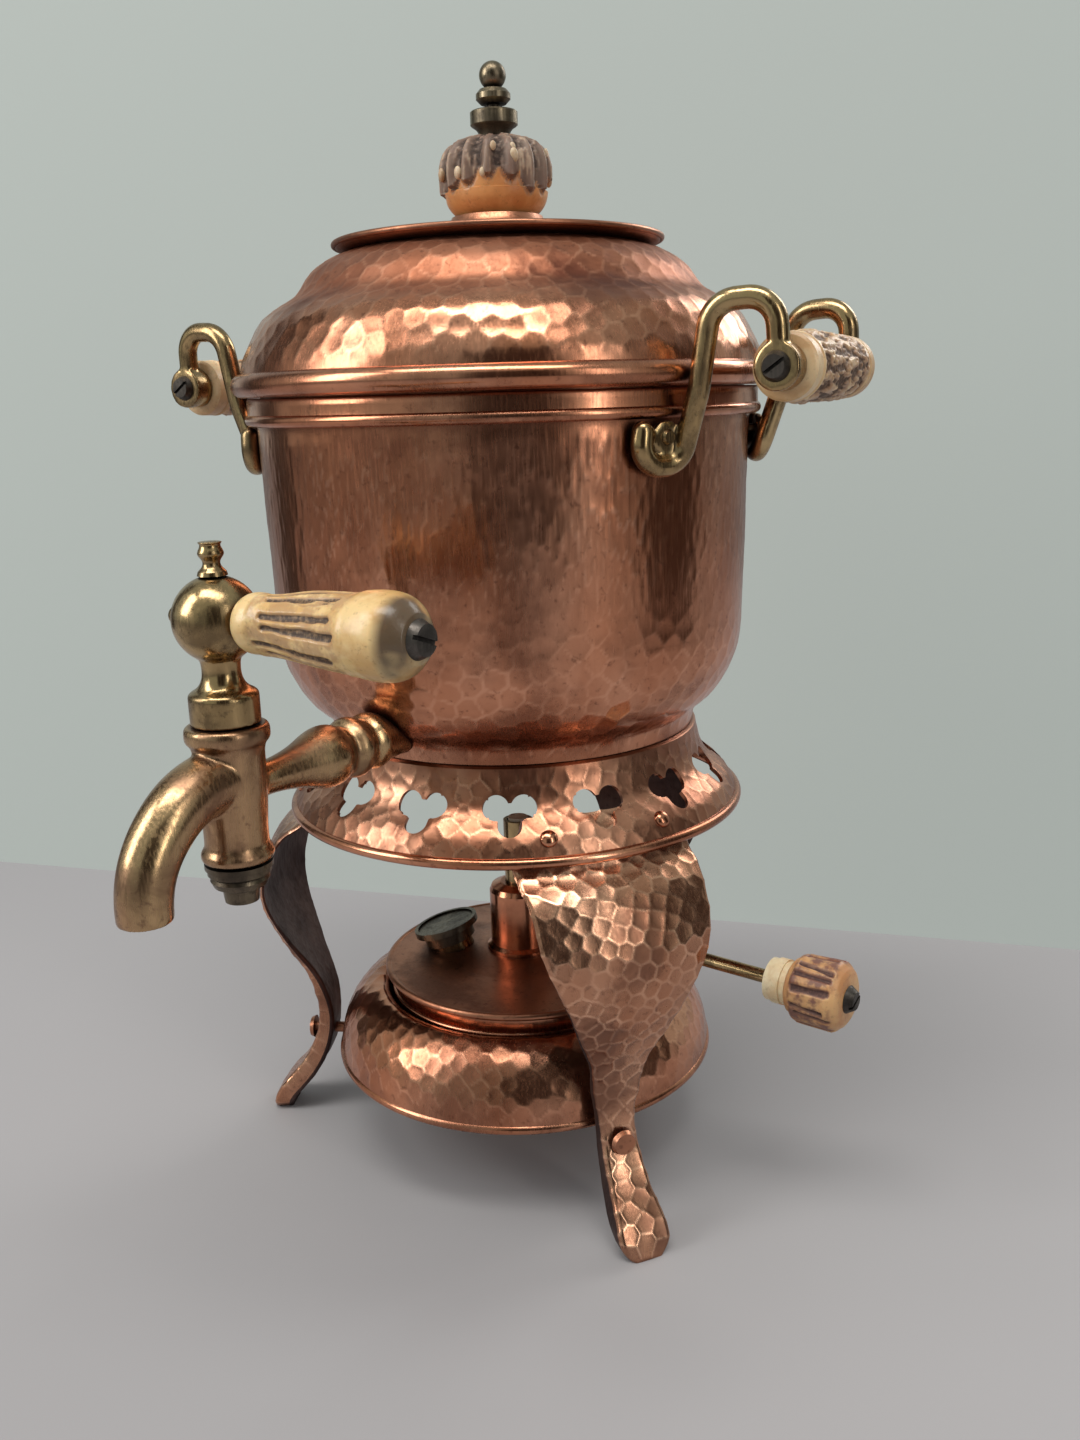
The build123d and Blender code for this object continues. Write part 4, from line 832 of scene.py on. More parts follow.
@dataclass
class Workshop:
    """The shared trees and finishes.

    Attributes:
        finishes: All the materials.
        relief: Tree for struck copper.
        hide: Tree for antler.
        beads: Tree for rivets and pearls.
    """

    finishes: Finishes = field(default_factory=Finishes)
    relief: bpy.types.NodeTree = field(default_factory=relief_tree)
    hide: bpy.types.NodeTree = field(default_factory=hide_tree)
    beads: bpy.types.NodeTree = field(default_factory=beads_tree)

    def strike(self, made: Piece, finish: str, spacing: float = 5.4, depth: float = 0.15,
               seed: int = 1, wave: float = 0.0, wave_scale: float = 30.0,
               squash: Spot = (1.0, 1.0, 1.0), share: str = "hammer") -> None:
        """Strikes a copper piece.

        Args:
            made: Piece with the attribute that share names.
            finish: Name of its finish.
            spacing: Least distance between blows, in millimetres.
            depth: Depth of a mark, in millimetres.
            seed: Seed of the blows.
            wave: Depth of the slow swell, in millimetres.
            wave_scale: Scale of the slow swell, per metre.
            squash: Scale of the space in which the blows are spaced.
            share: Attribute with the share of these marks.
        """
        realise(made, self.relief, spacing=spacing * MM, depth=depth * MM, seed=seed, wave_depth=wave * MM,
                wave_scale=wave_scale, squash=squash, share=share, material=self.finishes.all[finish])

    def cast(self, node: str, name: str, body: str, finish: str, voxel: float = 0.55,
             rounds: int = 8) -> Piece:
        """Stands a softened casting with rounded corners in for a CAD node.

        Args:
            node: CAD node.
            name: Name of the casting.
            body: CAD body that it rides on.
            finish: Name of its finish.
            voxel: Size of the remeshed faces in millimetres.
            rounds: Rounds of smoothing.

        Returns:
            The casting.
        """
        made = bpy.data.objects.new(name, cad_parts[node].data.copy())
        bpy.context.scene.collection.objects.link(made)
        made.data.materials.clear()
        mesh = made.modifiers.new("Remesh", "REMESH")
        mesh.mode, mesh.voxel_size, mesh.use_smooth_shade = "VOXEL", voxel * MM, True
        soft = made.modifiers.new("Smooth", "SMOOTH")
        soft.factor, soft.iterations = 0.5, rounds
        graph = bpy.context.evaluated_depsgraph_get()
        graph.update()
        shown = bpy.data.meshes.new_from_object(made.evaluated_get(graph), depsgraph=graph)
        made.modifiers.clear()
        made.data = shown
        shown.materials.append(self.finishes.all[finish])
        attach(made, body)
        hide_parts(node)
        return made

    def bead(self, name: str, places: np.ndarray, facings: np.ndarray, sizes: np.ndarray, body: str,
             slot: Slot, finish: str, radius: float, flatness: float,
             length: float = 1.0) -> Piece:
        """Sets a bead on each place.

        Args:
            name: Name of the piece.
            places: Middle of each bead, in millimetres.
            facings: Outward direction of each bead.
            sizes: Size of each bead, times the radius.
            body: CAD body that the piece rides on.
            slot: Not used.
            finish: Name of the finish.
            radius: Radius of a bead in millimetres.
            flatness: Height of a bead over its radius.
            length: Upright stretch of a bead.

        Returns:
            The piece.
        """
        mesh = bpy.data.meshes.new(name)
        mesh.from_pydata((np.array(places) * MM).tolist(), [], [])
        mesh.attributes.new("facing", "FLOAT_VECTOR", "POINT").data.foreach_set(
            "vector", np.array(facings, np.float32).ravel())
        mesh.attributes.new("size", "FLOAT", "POINT").data.foreach_set("value", np.array(sizes, np.float32))
        made = bpy.data.objects.new(name, mesh)
        bpy.context.scene.collection.objects.link(made)
        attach(made, body)
        return realise(made, self.beads, radius=radius * MM, flatness=flatness, length=length,
                       material=self.finishes.all[finish])


@dataclass
class Stand:
    """Gallery, legs, rivets and dish, in millimetres.

    Attributes:
        height: Height of the gallery's top, on which the urn stands.
        top_radius: Outer radius of the gallery's top edge.
        mouth_radius: Radius of the opening in its flange.
        rim_radius: Radius of the middle of its rolled rim.
        rim_height: Height of the middle of that rim.
        bead: Radius of the rolled rim's own section.
        wall: Thickness of its sheet.
        trefoils: Count of pierced trefoils.
        trefoil_turn: Turn of the first trefoil from the tap, in degrees.
        lobe: Radius of a trefoil's two upper lobes.
        spread: Distance of their middles from the trefoil's own axis.
        drop: How far below them the middle of its foot lies.
        stem: Radius of that foot, and half the width of the stem.
        tilt: Slope of the skin at the trefoils, in degrees.
        leg_turns: Turn of the left, right and back leg from the tap, in degrees.
        rivet_spread: Turn of a rivet from the middle of its leg, in degrees.
        rivet_share: Place of the rivets down the skin, from 0 at its top to 1.
        belly_radius: Greatest radius of a leg's knee.
        ankle_radius: Least radius of a leg.
        foot_radius: Radius of a foot's tip.
        knee_drop: How far the knee lies below the rim.
        ankle_height: Height of the ankle.
        leg_width: Width of a leg at the rim.
        ankle_width: Width at the ankle.
        foot_width: Width of the foot.
        leg_thickness: Thickness of the blade above the knee.
        foot_thickness: Thickness at the foot.
        dish_rim: Radius and height of the middle of the dish's rolled rim.
        dish_bead: Radius of that rim's own section.
        dish_cup: Inner radius of the cup.
        dish_crest: Height of the dish's crest.
        dish_floor: Height of the cup's floor.
        dish_wall: Thickness of the dish's sheet.
    """

    height: float = 158.0
    top_radius: float = 64.6
    mouth_radius: float = 56.0
    rim_radius: float = 79.2
    rim_height: float = 131.3
    bead: float = 1.8
    wall: float = 1.3
    trefoils: int = 15
    trefoil_turn: float = 33.0
    lobe: float = 4.2
    spread: float = 4.4
    drop: float = 6.2
    stem: float = 3.8
    tilt: float = 30.0
    leg_turns: tuple[float, float, float] = (-63.0, 57.0, 177.0)
    rivet_spread: float = 15.0
    rivet_share: float = 0.78
    belly_radius: float = 94.8
    ankle_radius: float = 79.3
    foot_radius: float = 100.4
    knee_drop: float = 32.0
    ankle_height: float = 43.0
    leg_width: float = 61.0
    ankle_width: float = 13.4
    foot_width: float = 17.6
    leg_thickness: float = 1.6
    foot_thickness: float = 7.2
    dish_rim: Point = (68.5, 33.4)
    dish_bead: float = 1.7
    dish_cup: float = 49.9
    dish_crest: float = 58.8
    dish_floor: float = 40.0
    dish_wall: float = 1.2

    def skirt_end(self) -> Point:
        """Radius and height at which the gallery's skin meets its rolled rim."""
        return self.rim_radius + 0.2, self.rim_height + 0.45 * self.bead

    def skirt(self, step: float) -> np.ndarray:
        """Skin of the gallery from its top edge down to its rolled rim."""
        shape = ((0.076, 0.224), (0.222, 0.449), (0.486, 0.612), (0.79, 0.776))
        return spline(stretch((self.top_radius, self.height), self.skirt_end(), shape), step)

    def trefoil(self, radius: np.ndarray, turn: np.ndarray, height: np.ndarray) -> np.ndarray:
        """Measures the distance to the nearest pierced trefoil.

        Args:
            radius: Radius of each place, in millimetres.
            turn: Its turn from the tap, in radians.
            height: Its height in millimetres.

        Returns:
            Distances, below 0 inside a trefoil.
        """
        end_radius, end_height = self.skirt_end()
        middle = (self.top_radius + 0.222 * (end_radius - self.top_radius),
                  self.height + 0.449 * (end_height - self.height) - 0.8)
        pitch = 2 * pi / self.trefoils
        off = turn - radians(self.trefoil_turn)
        off = off - pitch * np.round(off / pitch)
        tip = radians(self.tilt)
        x = radius * np.sin(off)
        y = -(radius * np.cos(off) - middle[0]) * sin(tip) + (height - middle[1]) * cos(tip)
        lobes = np.minimum(np.hypot(x - self.spread, y), np.hypot(x + self.spread, y)) - self.lobe
        foot = np.hypot(x, y + self.drop) - self.stem
        flat_x, flat_y = np.abs(x) - self.stem, np.abs(y + self.drop / 2) - self.drop / 2
        return np.minimum(np.minimum(lobes, foot), np.maximum(flat_x, flat_y))

    def gallery(self, shop: Workshop) -> None:
        """Builds the pierced gallery as one sheet with clean holes and a rolled rim.

        Args:
            shop: Shared trees and finishes.
        """
        step, small, small_turn = 0.72, 0.02, 0.0004
        plain, fade, fade_rows = 0.3, 1.2, 4
        flange = straight([(self.mouth_radius, self.height), (self.top_radius - 0.8, self.height)], 1.4)
        skin = self.skirt(step)[1:]
        line = np.concatenate([flange, skin])
        columns = int(2 * pi * self.rim_radius / step)
        turn = np.repeat((np.arange(columns) * 2 * pi / columns)[None], len(line), axis=0)
        place = np.repeat(np.arange(len(line), dtype=float)[:, None], columns, axis=1)

        def at(row: np.ndarray, around: np.ndarray) -> tuple[np.ndarray, np.ndarray, np.ndarray]:
            """Radius, turn and height at a place on the sheet."""
            numbers = np.arange(len(line))
            return np.interp(row, numbers, line[:, 0]), around, np.interp(row, numbers, line[:, 1])

        for _ in range(2):
            gap = self.trefoil(*at(place, turn))
            radius = at(place, turn)[0]
            down = (self.trefoil(*at(place + small, turn)) - gap) / (small * step)
            side = (self.trefoil(*at(place, turn + small_turn)) - gap) / (small_turn * radius)
            steep = np.maximum(down**2 + side**2, 0.2)
            near = (np.abs(gap) < 0.62 * step) & (place > len(flange))
            place = np.where(near, place - gap * down / steep / step, place)
            turn = np.where(near, turn - gap * side / steep / radius, turn)
        radius, _, height = at(place, turn)
        gap = self.trefoil(radius, turn, height)
        way = np.gradient(line, axis=0)
        way /= np.linalg.norm(way, axis=1)[:, None]
        numbers = np.arange(len(line))
        inward = (np.interp(place, numbers, way[:, 1]), -np.interp(place, numbers, way[:, 0]))
        deep_r, deep_z = radius + inward[0] * self.wall, height + inward[1] * self.wall
        faces = []
        inside = (gap < 0.02).ravel()
        for face in grid_faces(len(line), columns, False, True):
            if not all(inside[k] for k in face):
                faces.append(face)
        count = radius.size
        outer = np.stack([radius * np.sin(turn), -radius * np.cos(turn), height], axis=2).reshape(-1, 3)
        inner = np.stack([deep_r * np.sin(turn), -deep_r * np.cos(turn), deep_z], axis=2).reshape(-1, 3)
        edges: dict[tuple[int, int], int] = {}
        for face in faces:
            for a, b in zip(face, face[1:] + face[:1]):
                edges[(a, b)] = edges.get((a, b), 0) + 1
        walls = [(b, a, a + count, b + count) for a, b in edges if (b, a) not in edges]
        sheets = faces + [tuple(k + count for k in face[::-1]) for face in faces] + walls
        used = sorted({k for face in sheets for k in face})
        number = {old: new for new, old in enumerate(used)}
        verts = np.concatenate([outer, inner])[used]
        sheets = [tuple(number[k] for k in face) for face in sheets]
        edge = np.clip((gap.ravel() - plain) / fade, 0, 1)
        edge *= np.clip((place.ravel() - len(flange)) / fade_rows, 0, 1)
        hammer = np.concatenate([edge, np.zeros(count)])[used]
        made = make_object("gallery_sheet", verts, sheets, "stand", {"hammer": hammer})
        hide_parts("gallery")
        # The sheet takes the darker gallery copper, as painted shade.
        shop.strike(made, "Copper shaded gallery", spacing=4.9, depth=0.17, seed=3)
        rim = Section().run(arc((self.rim_radius, self.rim_height), self.bead, 0, 342, 20))
        roll = revolved("gallery_rim", rim, "stand", 2.0)
        shop.strike(roll, "Copper", seed=4)
        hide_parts("gallery")

    def leg(self, shop: Workshop, name: str, turn: float, seed: int) -> None:
        """Builds one leg as a hammered blade with rounded edges, its inner face and ends painted dark as
        shade.

        Args:
            shop: Shared trees and finishes.
            name: CAD node that it replaces.
            turn: Turn of the leg from the tap, in degrees.
            seed: Seed of its hammer marks.
        """
        knee = self.rim_height - self.knee_drop
        rise = knee - self.ankle_height
        reach = self.belly_radius - self.rim_radius
        back_in = self.belly_radius - self.ankle_radius
        out = self.foot_radius - self.ankle_radius
        skirt = self.skirt(0.5)[::-1]
        tab = beside(skirt, np.full(len(skirt), -(self.wall + 0.25)))
        share = [0.5, 0.41, 0.32, 0.23, 0.14]
        tab_points = [tuple(tab[int(s * (len(tab) - 1))]) for s in share]
        line = spline(tab_points + [
            (self.rim_radius - self.bead - 0.6, self.rim_height + 0.3),
            (self.rim_radius - 1.2, self.rim_height - self.bead - 1.6),
            (self.rim_radius + 0.33 * reach, self.rim_height - 8.5),
            (self.rim_radius + 0.80 * reach, self.rim_height - 19.5),
            (self.belly_radius, knee),
            (self.ankle_radius + 0.84 * back_in, self.ankle_height + 0.73 * rise),
            (self.ankle_radius + 0.42 * back_in, self.ankle_height + 0.44 * rise),
            (self.ankle_radius + 0.09 * back_in, self.ankle_height + 0.19 * rise),
            (self.ankle_radius, self.ankle_height),
            (self.ankle_radius + 0.12 * out, self.ankle_height * 0.70),
            (self.ankle_radius + 0.50 * out, self.ankle_height * 0.40),
            (self.foot_radius - 1.8, self.ankle_height * 0.14),
            (self.foot_radius - 0.25, 0.0),
        ], 0.62)
        thickest = 12.0
        low = np.clip((knee - line[:, 1]) / (knee - thickest), 0, 1)
        swell = low * low * (3 - 2 * low)
        thick = self.leg_thickness + (self.foot_thickness - self.leg_thickness) * swell
        back = beside(line, thick)
        back[:, 1] = np.maximum(back[:, 1], 0.0)
        half = self.leg_width / 2
        wide = spline([(0.78 * half, self.height - 15.5), (half, self.rim_height),
                       (0.99 * half, self.rim_height - 13), (0.96 * half, self.rim_height - 25),
                       (0.84 * half, self.rim_height - 36),
                       (0.66 * half, self.ankle_height + 40), (0.49 * half, self.ankle_height + 28),
                       (0.32 * half, self.ankle_height + 16),
                       (0.62 * self.ankle_width, self.ankle_height + 7),
                       (self.ankle_width / 2, self.ankle_height - 2),
                       (0.50 * self.ankle_width, self.ankle_height * 0.65),
                       (0.43 * self.foot_width, self.ankle_height * 0.40),
                       (self.foot_width / 2, self.ankle_height * 0.20),
                       (0.93 * self.foot_width / 2, self.ankle_height * 0.08),
                       (0.62 * self.foot_width / 2, 0.0)], 0.5)
        order = np.argsort(wide[:, 1])
        across, back_share, greatest_round = 87, 0.35, 1.6
        steps = np.linspace(-1, 1, across)
        ways = np.gradient(line, axis=0)
        rings, shares = [], []
        for k in range(len(line)):
            ring, ring_share = [], []
            for (radius, height), share_here, flip in ((line[k], 1.0, 1), (back[k], back_share, -1)):
                width = float(np.interp(height, wide[order, 1], wide[order, 0]))
                soft = min(0.45 * thick[k], greatest_round)
                side = steps[::flip] * width
                depth = np.clip((np.abs(side) - (width - soft)) / soft, 0, 1)
                tuck = soft * (1 - np.sqrt(1 - depth**2))
                way = ways[k] / np.linalg.norm(ways[k])
                r = radius + flip * way[1] * tuck
                z = np.maximum(height - flip * way[0] * tuck, 0.0)
                ring.append(np.stack([side, -np.sqrt(np.maximum(r**2 - side**2, 1.0)), z], axis=1))
                ring_share.append(np.full(across, share_here if height > 0.4 else 0.0))
            rings.append(np.concatenate(ring))
            shares.append(np.concatenate(ring_share))
        verts, ring = np.concatenate(rings), 2 * across
        faces = grid_faces(len(line), ring, False, True)
        for start in (0, (len(line) - 1) * ring):
            for j in range(across - 1):
                faces.append((start + j, start + j + 1, start + ring - 2 - j, start + ring - 1 - j))
        angle = radians(turn)
        spun = np.array([[cos(angle), -sin(angle), 0], [sin(angle), cos(angle), 0], [0, 0, 1]])
        made = make_object(name + "_blade", verts @ spun.T, faces, "stand",
                           {"hammer": np.concatenate(shares)})
        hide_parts(name)
        shop.strike(made, "Copper leg", spacing=5.4, depth=0.24, seed=seed)
        faced = np.zeros(len(made.data.vertices), np.float32)
        made.data.attributes["hammer"].data.foreach_get("value", faced)
        # The inner face and the ends take near-black copper: painted shade.
        shop.finishes.line(made, "Copper painted shade", lambda face: faced[face.vertices[0]] < 0.5)

    def rivets(self, shop: Workshop) -> None:
        """Builds the domed rivets of the gallery, with their tails inside.

        Args:
            shop: Shared trees and finishes.
        """
        head, tail, grip = 2.8, 2.3, 3.3
        skin = self.skirt(0.2)[::-1]
        k = int((1 - self.rivet_share) * (len(skin) - 1))
        way = skin[k + 1] - skin[k]
        way = way / np.linalg.norm(way)
        places, facings = [], []
        for turn in self.leg_turns:
            for side in (-1, 1):
                a = radians(turn + side * self.rivet_spread)
                places.append((skin[k][0] * sin(a), -skin[k][0] * cos(a), skin[k][1]))
                facings.append((way[1] * sin(a), -way[1] * cos(a), -way[0]))
        places, facings, sizes = np.array(places), np.array(facings), np.ones(len(places))
        heads = shop.bead("rivet_heads", places, facings, sizes, "stand", Slot.COPPER, "Copper smooth",
                          head, 0.62)
        tails = shop.bead("rivet_tails", places - facings * grip, -facings, sizes, "stand", Slot.COPPER,
                          "Copper dull", tail, 0.5)
        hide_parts("gallery_rivets")
        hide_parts("gallery_rivets")

    def dish(self, shop: Workshop) -> None:
        """Builds the hammered dish with its cup and rolled rim.

        Args:
            shop: Shared trees and finishes.
        """
        wall = self.dish_wall
        rim_r, rim_z = self.dish_rim
        span, drop, crest = rim_r - self.dish_cup, self.dish_crest - rim_z, self.dish_crest
        skin = spline([(self.dish_cup, crest - 4.4), (self.dish_cup + 0.055 * span, crest - 0.05 * drop),
                       (self.dish_cup + 0.18 * span, crest),
                       (self.dish_cup + 0.40 * span, crest - 0.055 * drop),
                       (self.dish_cup + 0.64 * span, crest - 0.19 * drop),
                       (self.dish_cup + 0.84 * span, crest - 0.39 * drop),
                       (self.dish_cup + 0.98 * span, crest - 0.63 * drop),
                       (rim_r + 0.9, rim_z + 0.25 * self.dish_bead)], 0.9)
        under = beside(skin, np.full(len(skin), wall))
        section = Section()
        section.run(straight([(0.01, self.dish_floor), (self.dish_cup - 1.0, self.dish_floor),
                              (self.dish_cup, self.dish_floor + 1.0), (self.dish_cup, crest - 6.0)], 4.0))
        section.run(skin[:6]).run(skin[6:-4], hammer=1.0)
        section.run(arc((rim_r, rim_z), self.dish_bead, 60, -170, 16))
        section.run(under[-4:3:-3])
        section.run([(self.dish_cup + wall, crest - 6.0), (self.dish_cup + wall, self.dish_floor),
                     (self.dish_cup - 0.6, self.dish_floor - wall), (0.01, self.dish_floor - wall)])
        made = revolved("dish_ring", section, "stand", 1.0)
        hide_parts("dish")
        shop.strike(made, "Copper", spacing=5.2, depth=0.2, seed=6)

    def build(self, shop: Workshop) -> None:
        """Builds the whole stand.

        Args:
            shop: Shared trees and finishes.
        """
        self.gallery(shop)
        for name, turn, seed in zip(("leg_left", "leg_right", "leg_back"), self.leg_turns, (11, 12, 13)):
            self.leg(shop, name, turn, seed)
        self.rivets(shop)
        self.dish(shop)
        shop.finishes.put(dish_studs="Copper dull")


@dataclass
class Pot:
    """The urn's pot and its two lids, in millimetres.

    Attributes:
        base: Height of the pot's foot.
        spigot_radius: Radius of the step under the foot, which enters the gallery's mouth.
        spigot_depth: Depth of that step.
        foot_radius: Radius of the foot.
        belly_radius: Radius where the round belly ends.
        belly_height: Height of the belly over the foot.
        radius: Radius of the pot below its rib.
        rib_low: Height of the rib's lower edge.
        rib: Radius of the rib's own section.
        collar_radius: Radius of the collar above the rib.
        collar_top: Height of the collar's top.
        hammer_top: Height at which the round hammer marks have faded out.
        marks_low: Height at which the upright marks start.
        wall: Thickness of the sheet.
        step: Distance between samples of the sections.
        dome_seat: Height of the lower edge of the dome's bead.
        dome_height: Height of the dome over its seat.
        dome_bead: Radius of the bead's own section.
        dome_reach: Radius of the middle of the bead.
        dome_skirt: Radius of the skirt that enters the collar.
        skirt_depth: Depth of that skirt.
        opening: Radius of the dome's opening.
        lid_radius: Radius of the small lid.
        lid_bore: Radius of the hole for the knob's bolt.
        hub_radius: Radius of the top of the lid's hub.
        hub_height: Height of the hub.
    """

    base: float = 158.3
    spigot_radius: float = 55.2
    spigot_depth: float = 2.0
    foot_radius: float = 63.5
    belly_radius: float = 80.4
    belly_height: float = 35.0
    radius: float = 82.2
    rib_low: float = 262.3
    rib: float = 1.9
    collar_radius: float = 85.0
    collar_top: float = 271.0
    hammer_top: float = 212.0
    marks_low: float = 196.0
    wall: float = 1.2
    step: float = 1.0
    dome_seat: float = 271.3
    dome_height: float = 44.6
    dome_bead: float = 3.7
    dome_reach: float = 86.0
    dome_skirt: float = 80.5
    skirt_depth: float = 8.0
    opening: float = 47.5
    lid_radius: float = 53.6
    lid_bore: float = 2.1
    hub_radius: float = 14.8
    hub_height: float = 8.3

    def pot(self, shop: Workshop) -> None:
        """Builds the pot: hammered below, with long upright marks above.

        Args:
            shop: Shared trees and finishes.
        """
        shape = ((0.095, 0.163), (0.385, 0.294), (0.64, 0.449), (0.81, 0.603), (0.93, 0.763))
        belly_top = (self.belly_radius, self.base + self.belly_height)
        belly = spline(stretch((self.foot_radius, self.base), belly_top, shape), self.step)
        upper = straight([belly_top, (self.radius, self.rib_low - 1.0)], self.step)[1:]
        skin = np.concatenate([belly, upper])
        lining = np.concatenate([belly, upper[::6]])
        inner = beside(lining, np.full(len(lining), -self.wall))
        hollow, floor = self.spigot_radius - self.wall, self.base - self.spigot_depth + self.wall
        section = Section()
        section.run(straight([(0.01, self.base - self.spigot_depth),
                              (self.spigot_radius - 0.4, self.base - self.spigot_depth),
                              (self.spigot_radius, self.base - self.spigot_depth + 0.4),
                              (self.spigot_radius, self.base), (self.foot_radius - 0.5, self.base)], 5.0))
        section.run(skin)
        height, hammer_fade, marks_fade = skin[:, 1], 22.0, 24.0
        low = np.clip((self.hammer_top - height) / hammer_fade, 0, 1)
        low *= np.clip((height - self.base - 0.5) / 3.0, 0, 1)
        section.hammer[-1] = low
        high = np.clip((height - self.marks_low) / marks_fade, 0, 1)
        section.marks[-1] = high * np.clip((self.rib_low - 2.0 - height) / 3.0, 0, 1)
        rib = (self.collar_radius - 0.9, self.rib_low + self.rib)
        section.run(arc(rib, self.rib, -158, 60, 14))
        inside = self.radius - self.wall
        section.run(straight([(self.collar_radius, self.rib_low + 4.4),
                              (self.collar_radius, self.collar_top - 0.6),
                              (self.collar_radius - 0.5, self.collar_top), (inside + 0.3, self.collar_top),
                              (inside, self.collar_top - 0.5)], 2.0))
        section.run(inner[::-4])
        section.run(straight([(hollow, self.base + self.wall), (hollow, floor), (0.01, floor)], 8.0))
        made = revolved("pot", section, "urn", self.step)
        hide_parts("urn_body")
        shop.strike(made, "Copper", spacing=6.4, depth=0.16, seed=21, wave=0.5, wave_scale=38.0)
        shop.strike(made, "Copper", spacing=1.9, depth=0.085, seed=22, wave=0.9, wave_scale=24.0,
                    squash=(1.0, 1.0, 0.2), share="marks")

    def dome(self, shop: Workshop) -> None:
        """Builds the stepped dome with its thick bead; its crown is rougher and painted darker as shade.

        Args:
            shop: Shared trees and finishes.
        """
        bead = (self.dome_reach, self.dome_seat + self.dome_bead)
        shape = ((0.033, 0.128), (0.092, 0.251), (0.177, 0.402), (0.295, 0.511), (0.41, 0.582),
                 (0.505, 0.648), (0.56, 0.724), (0.613, 0.80), (0.705, 0.88), (0.846, 0.956))
        crown = self.dome_seat + self.dome_height
        foot = (self.dome_reach + 0.3, bead[1] + self.dome_bead - 0.4)
        skin = spline(stretch(foot, (self.opening, crown), shape), self.step)
        under = beside(skin, np.full(len(skin), -self.wall))
        skirt, skirt_foot = self.dome_skirt, self.dome_seat - self.skirt_depth
        section = Section()
        section.run(straight([(skirt - self.wall, skirt_foot), (skirt, skirt_foot),
                              (skirt, self.dome_seat + 2.0),
                              (self.dome_reach - self.dome_bead + 0.1, bead[1] - 0.4)], 3.0))
        section.run(arc(bead, self.dome_bead, -175, 82, 26))
        section.run(skin, hammer=1.0)
        height = skin[:, 1]
        fade_in = np.clip((height - bead[1] - 4.5) / 3.0, 0, 1)
        section.hammer[-1] = fade_in * np.clip((crown + 3 - height) / 4, 0, 1)
        section.run(under[::-4]).run([(skirt - self.wall, bead[1] + 1.4)])
        made = revolved("dome", section, "dome", self.step)
        spots = np.array([spot.co.z for spot in made.data.vertices]) / MM
        # The crown takes the attribute dull, which makes it rougher and paints shade on it.
        crowned = np.clip((spots - self.dome_seat - 0.52 * self.dome_height) / 6.0, 0, 1)
        dull = made.data.attributes.new("dull", "FLOAT", "POINT")
        dull.data.foreach_set("value", crowned.astype(np.float32))
        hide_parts("dome_lid")
        shop.strike(made, "Copper", spacing=6.2, depth=0.2, seed=31, wave=0.5, wave_scale=30.0)

    def lid(self, shop: Workshop) -> None:
        """Builds the saucer lid with its coned hub.

        Args:
            shop: Shared trees and finishes.
        """
        rest = self.dome_seat + self.dome_height + 0.3 + self.wall
        top = rest + self.hub_height + 0.6
        skin = spline([(self.hub_radius, top), (self.hub_radius + 1.9, top - 0.33 * self.hub_height),
                       (self.hub_radius + 6.0, top - 0.56 * self.hub_height),
                       (0.52 * self.lid_radius, top - 0.72 * self.hub_height),
                       (0.75 * self.lid_radius, top - 0.95 * self.hub_height),
                       (0.93 * self.lid_radius, rest - 0.1), (self.lid_radius, rest + 1.0)], self.step)
        under = beside(skin, np.full(len(skin), self.wall))
        plug, plug_depth = self.opening - 0.6, 6.0
        section = Section()
        section.run(straight([(self.lid_bore, top), (self.hub_radius - 0.6, top)], 3.0))
        section.run(skin, hammer=0.6)
        section.hammer[-1][:8] = 0.0
        section.run(arc((self.lid_radius, rest + 0.9), 0.9, 90, -120, 12))
        section.run(under[-3:12:-4])
        section.run([(self.hub_radius - 1.5, top - 1.6), (self.lid_bore, top - 1.6)])
        made = revolved("saucer", section, "lid", 1.3)
        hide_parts("small_lid")
        shop.strike(made, "Copper dull", spacing=6.0, depth=0.09, seed=41, wave=0.5, wave_scale=24.0)
        ring = Section().run(straight([(plug - self.wall, rest - plug_depth), (plug, rest - plug_depth),
                                       (plug, rest - 0.4), (plug - self.wall, rest - 0.4)], 3.0))
        sleeve = revolved("saucer_plug", ring, "lid", 3.0)
        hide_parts("small_lid")
        shop.strike(sleeve, "Copper dull", seed=42)

    def build(self, shop: Workshop) -> None:
        """Builds the pot and both lids.

        Args:
            shop: Shared trees and finishes.
        """
        self.pot(shop)
        self.dome(shop)
        self.lid(shop)


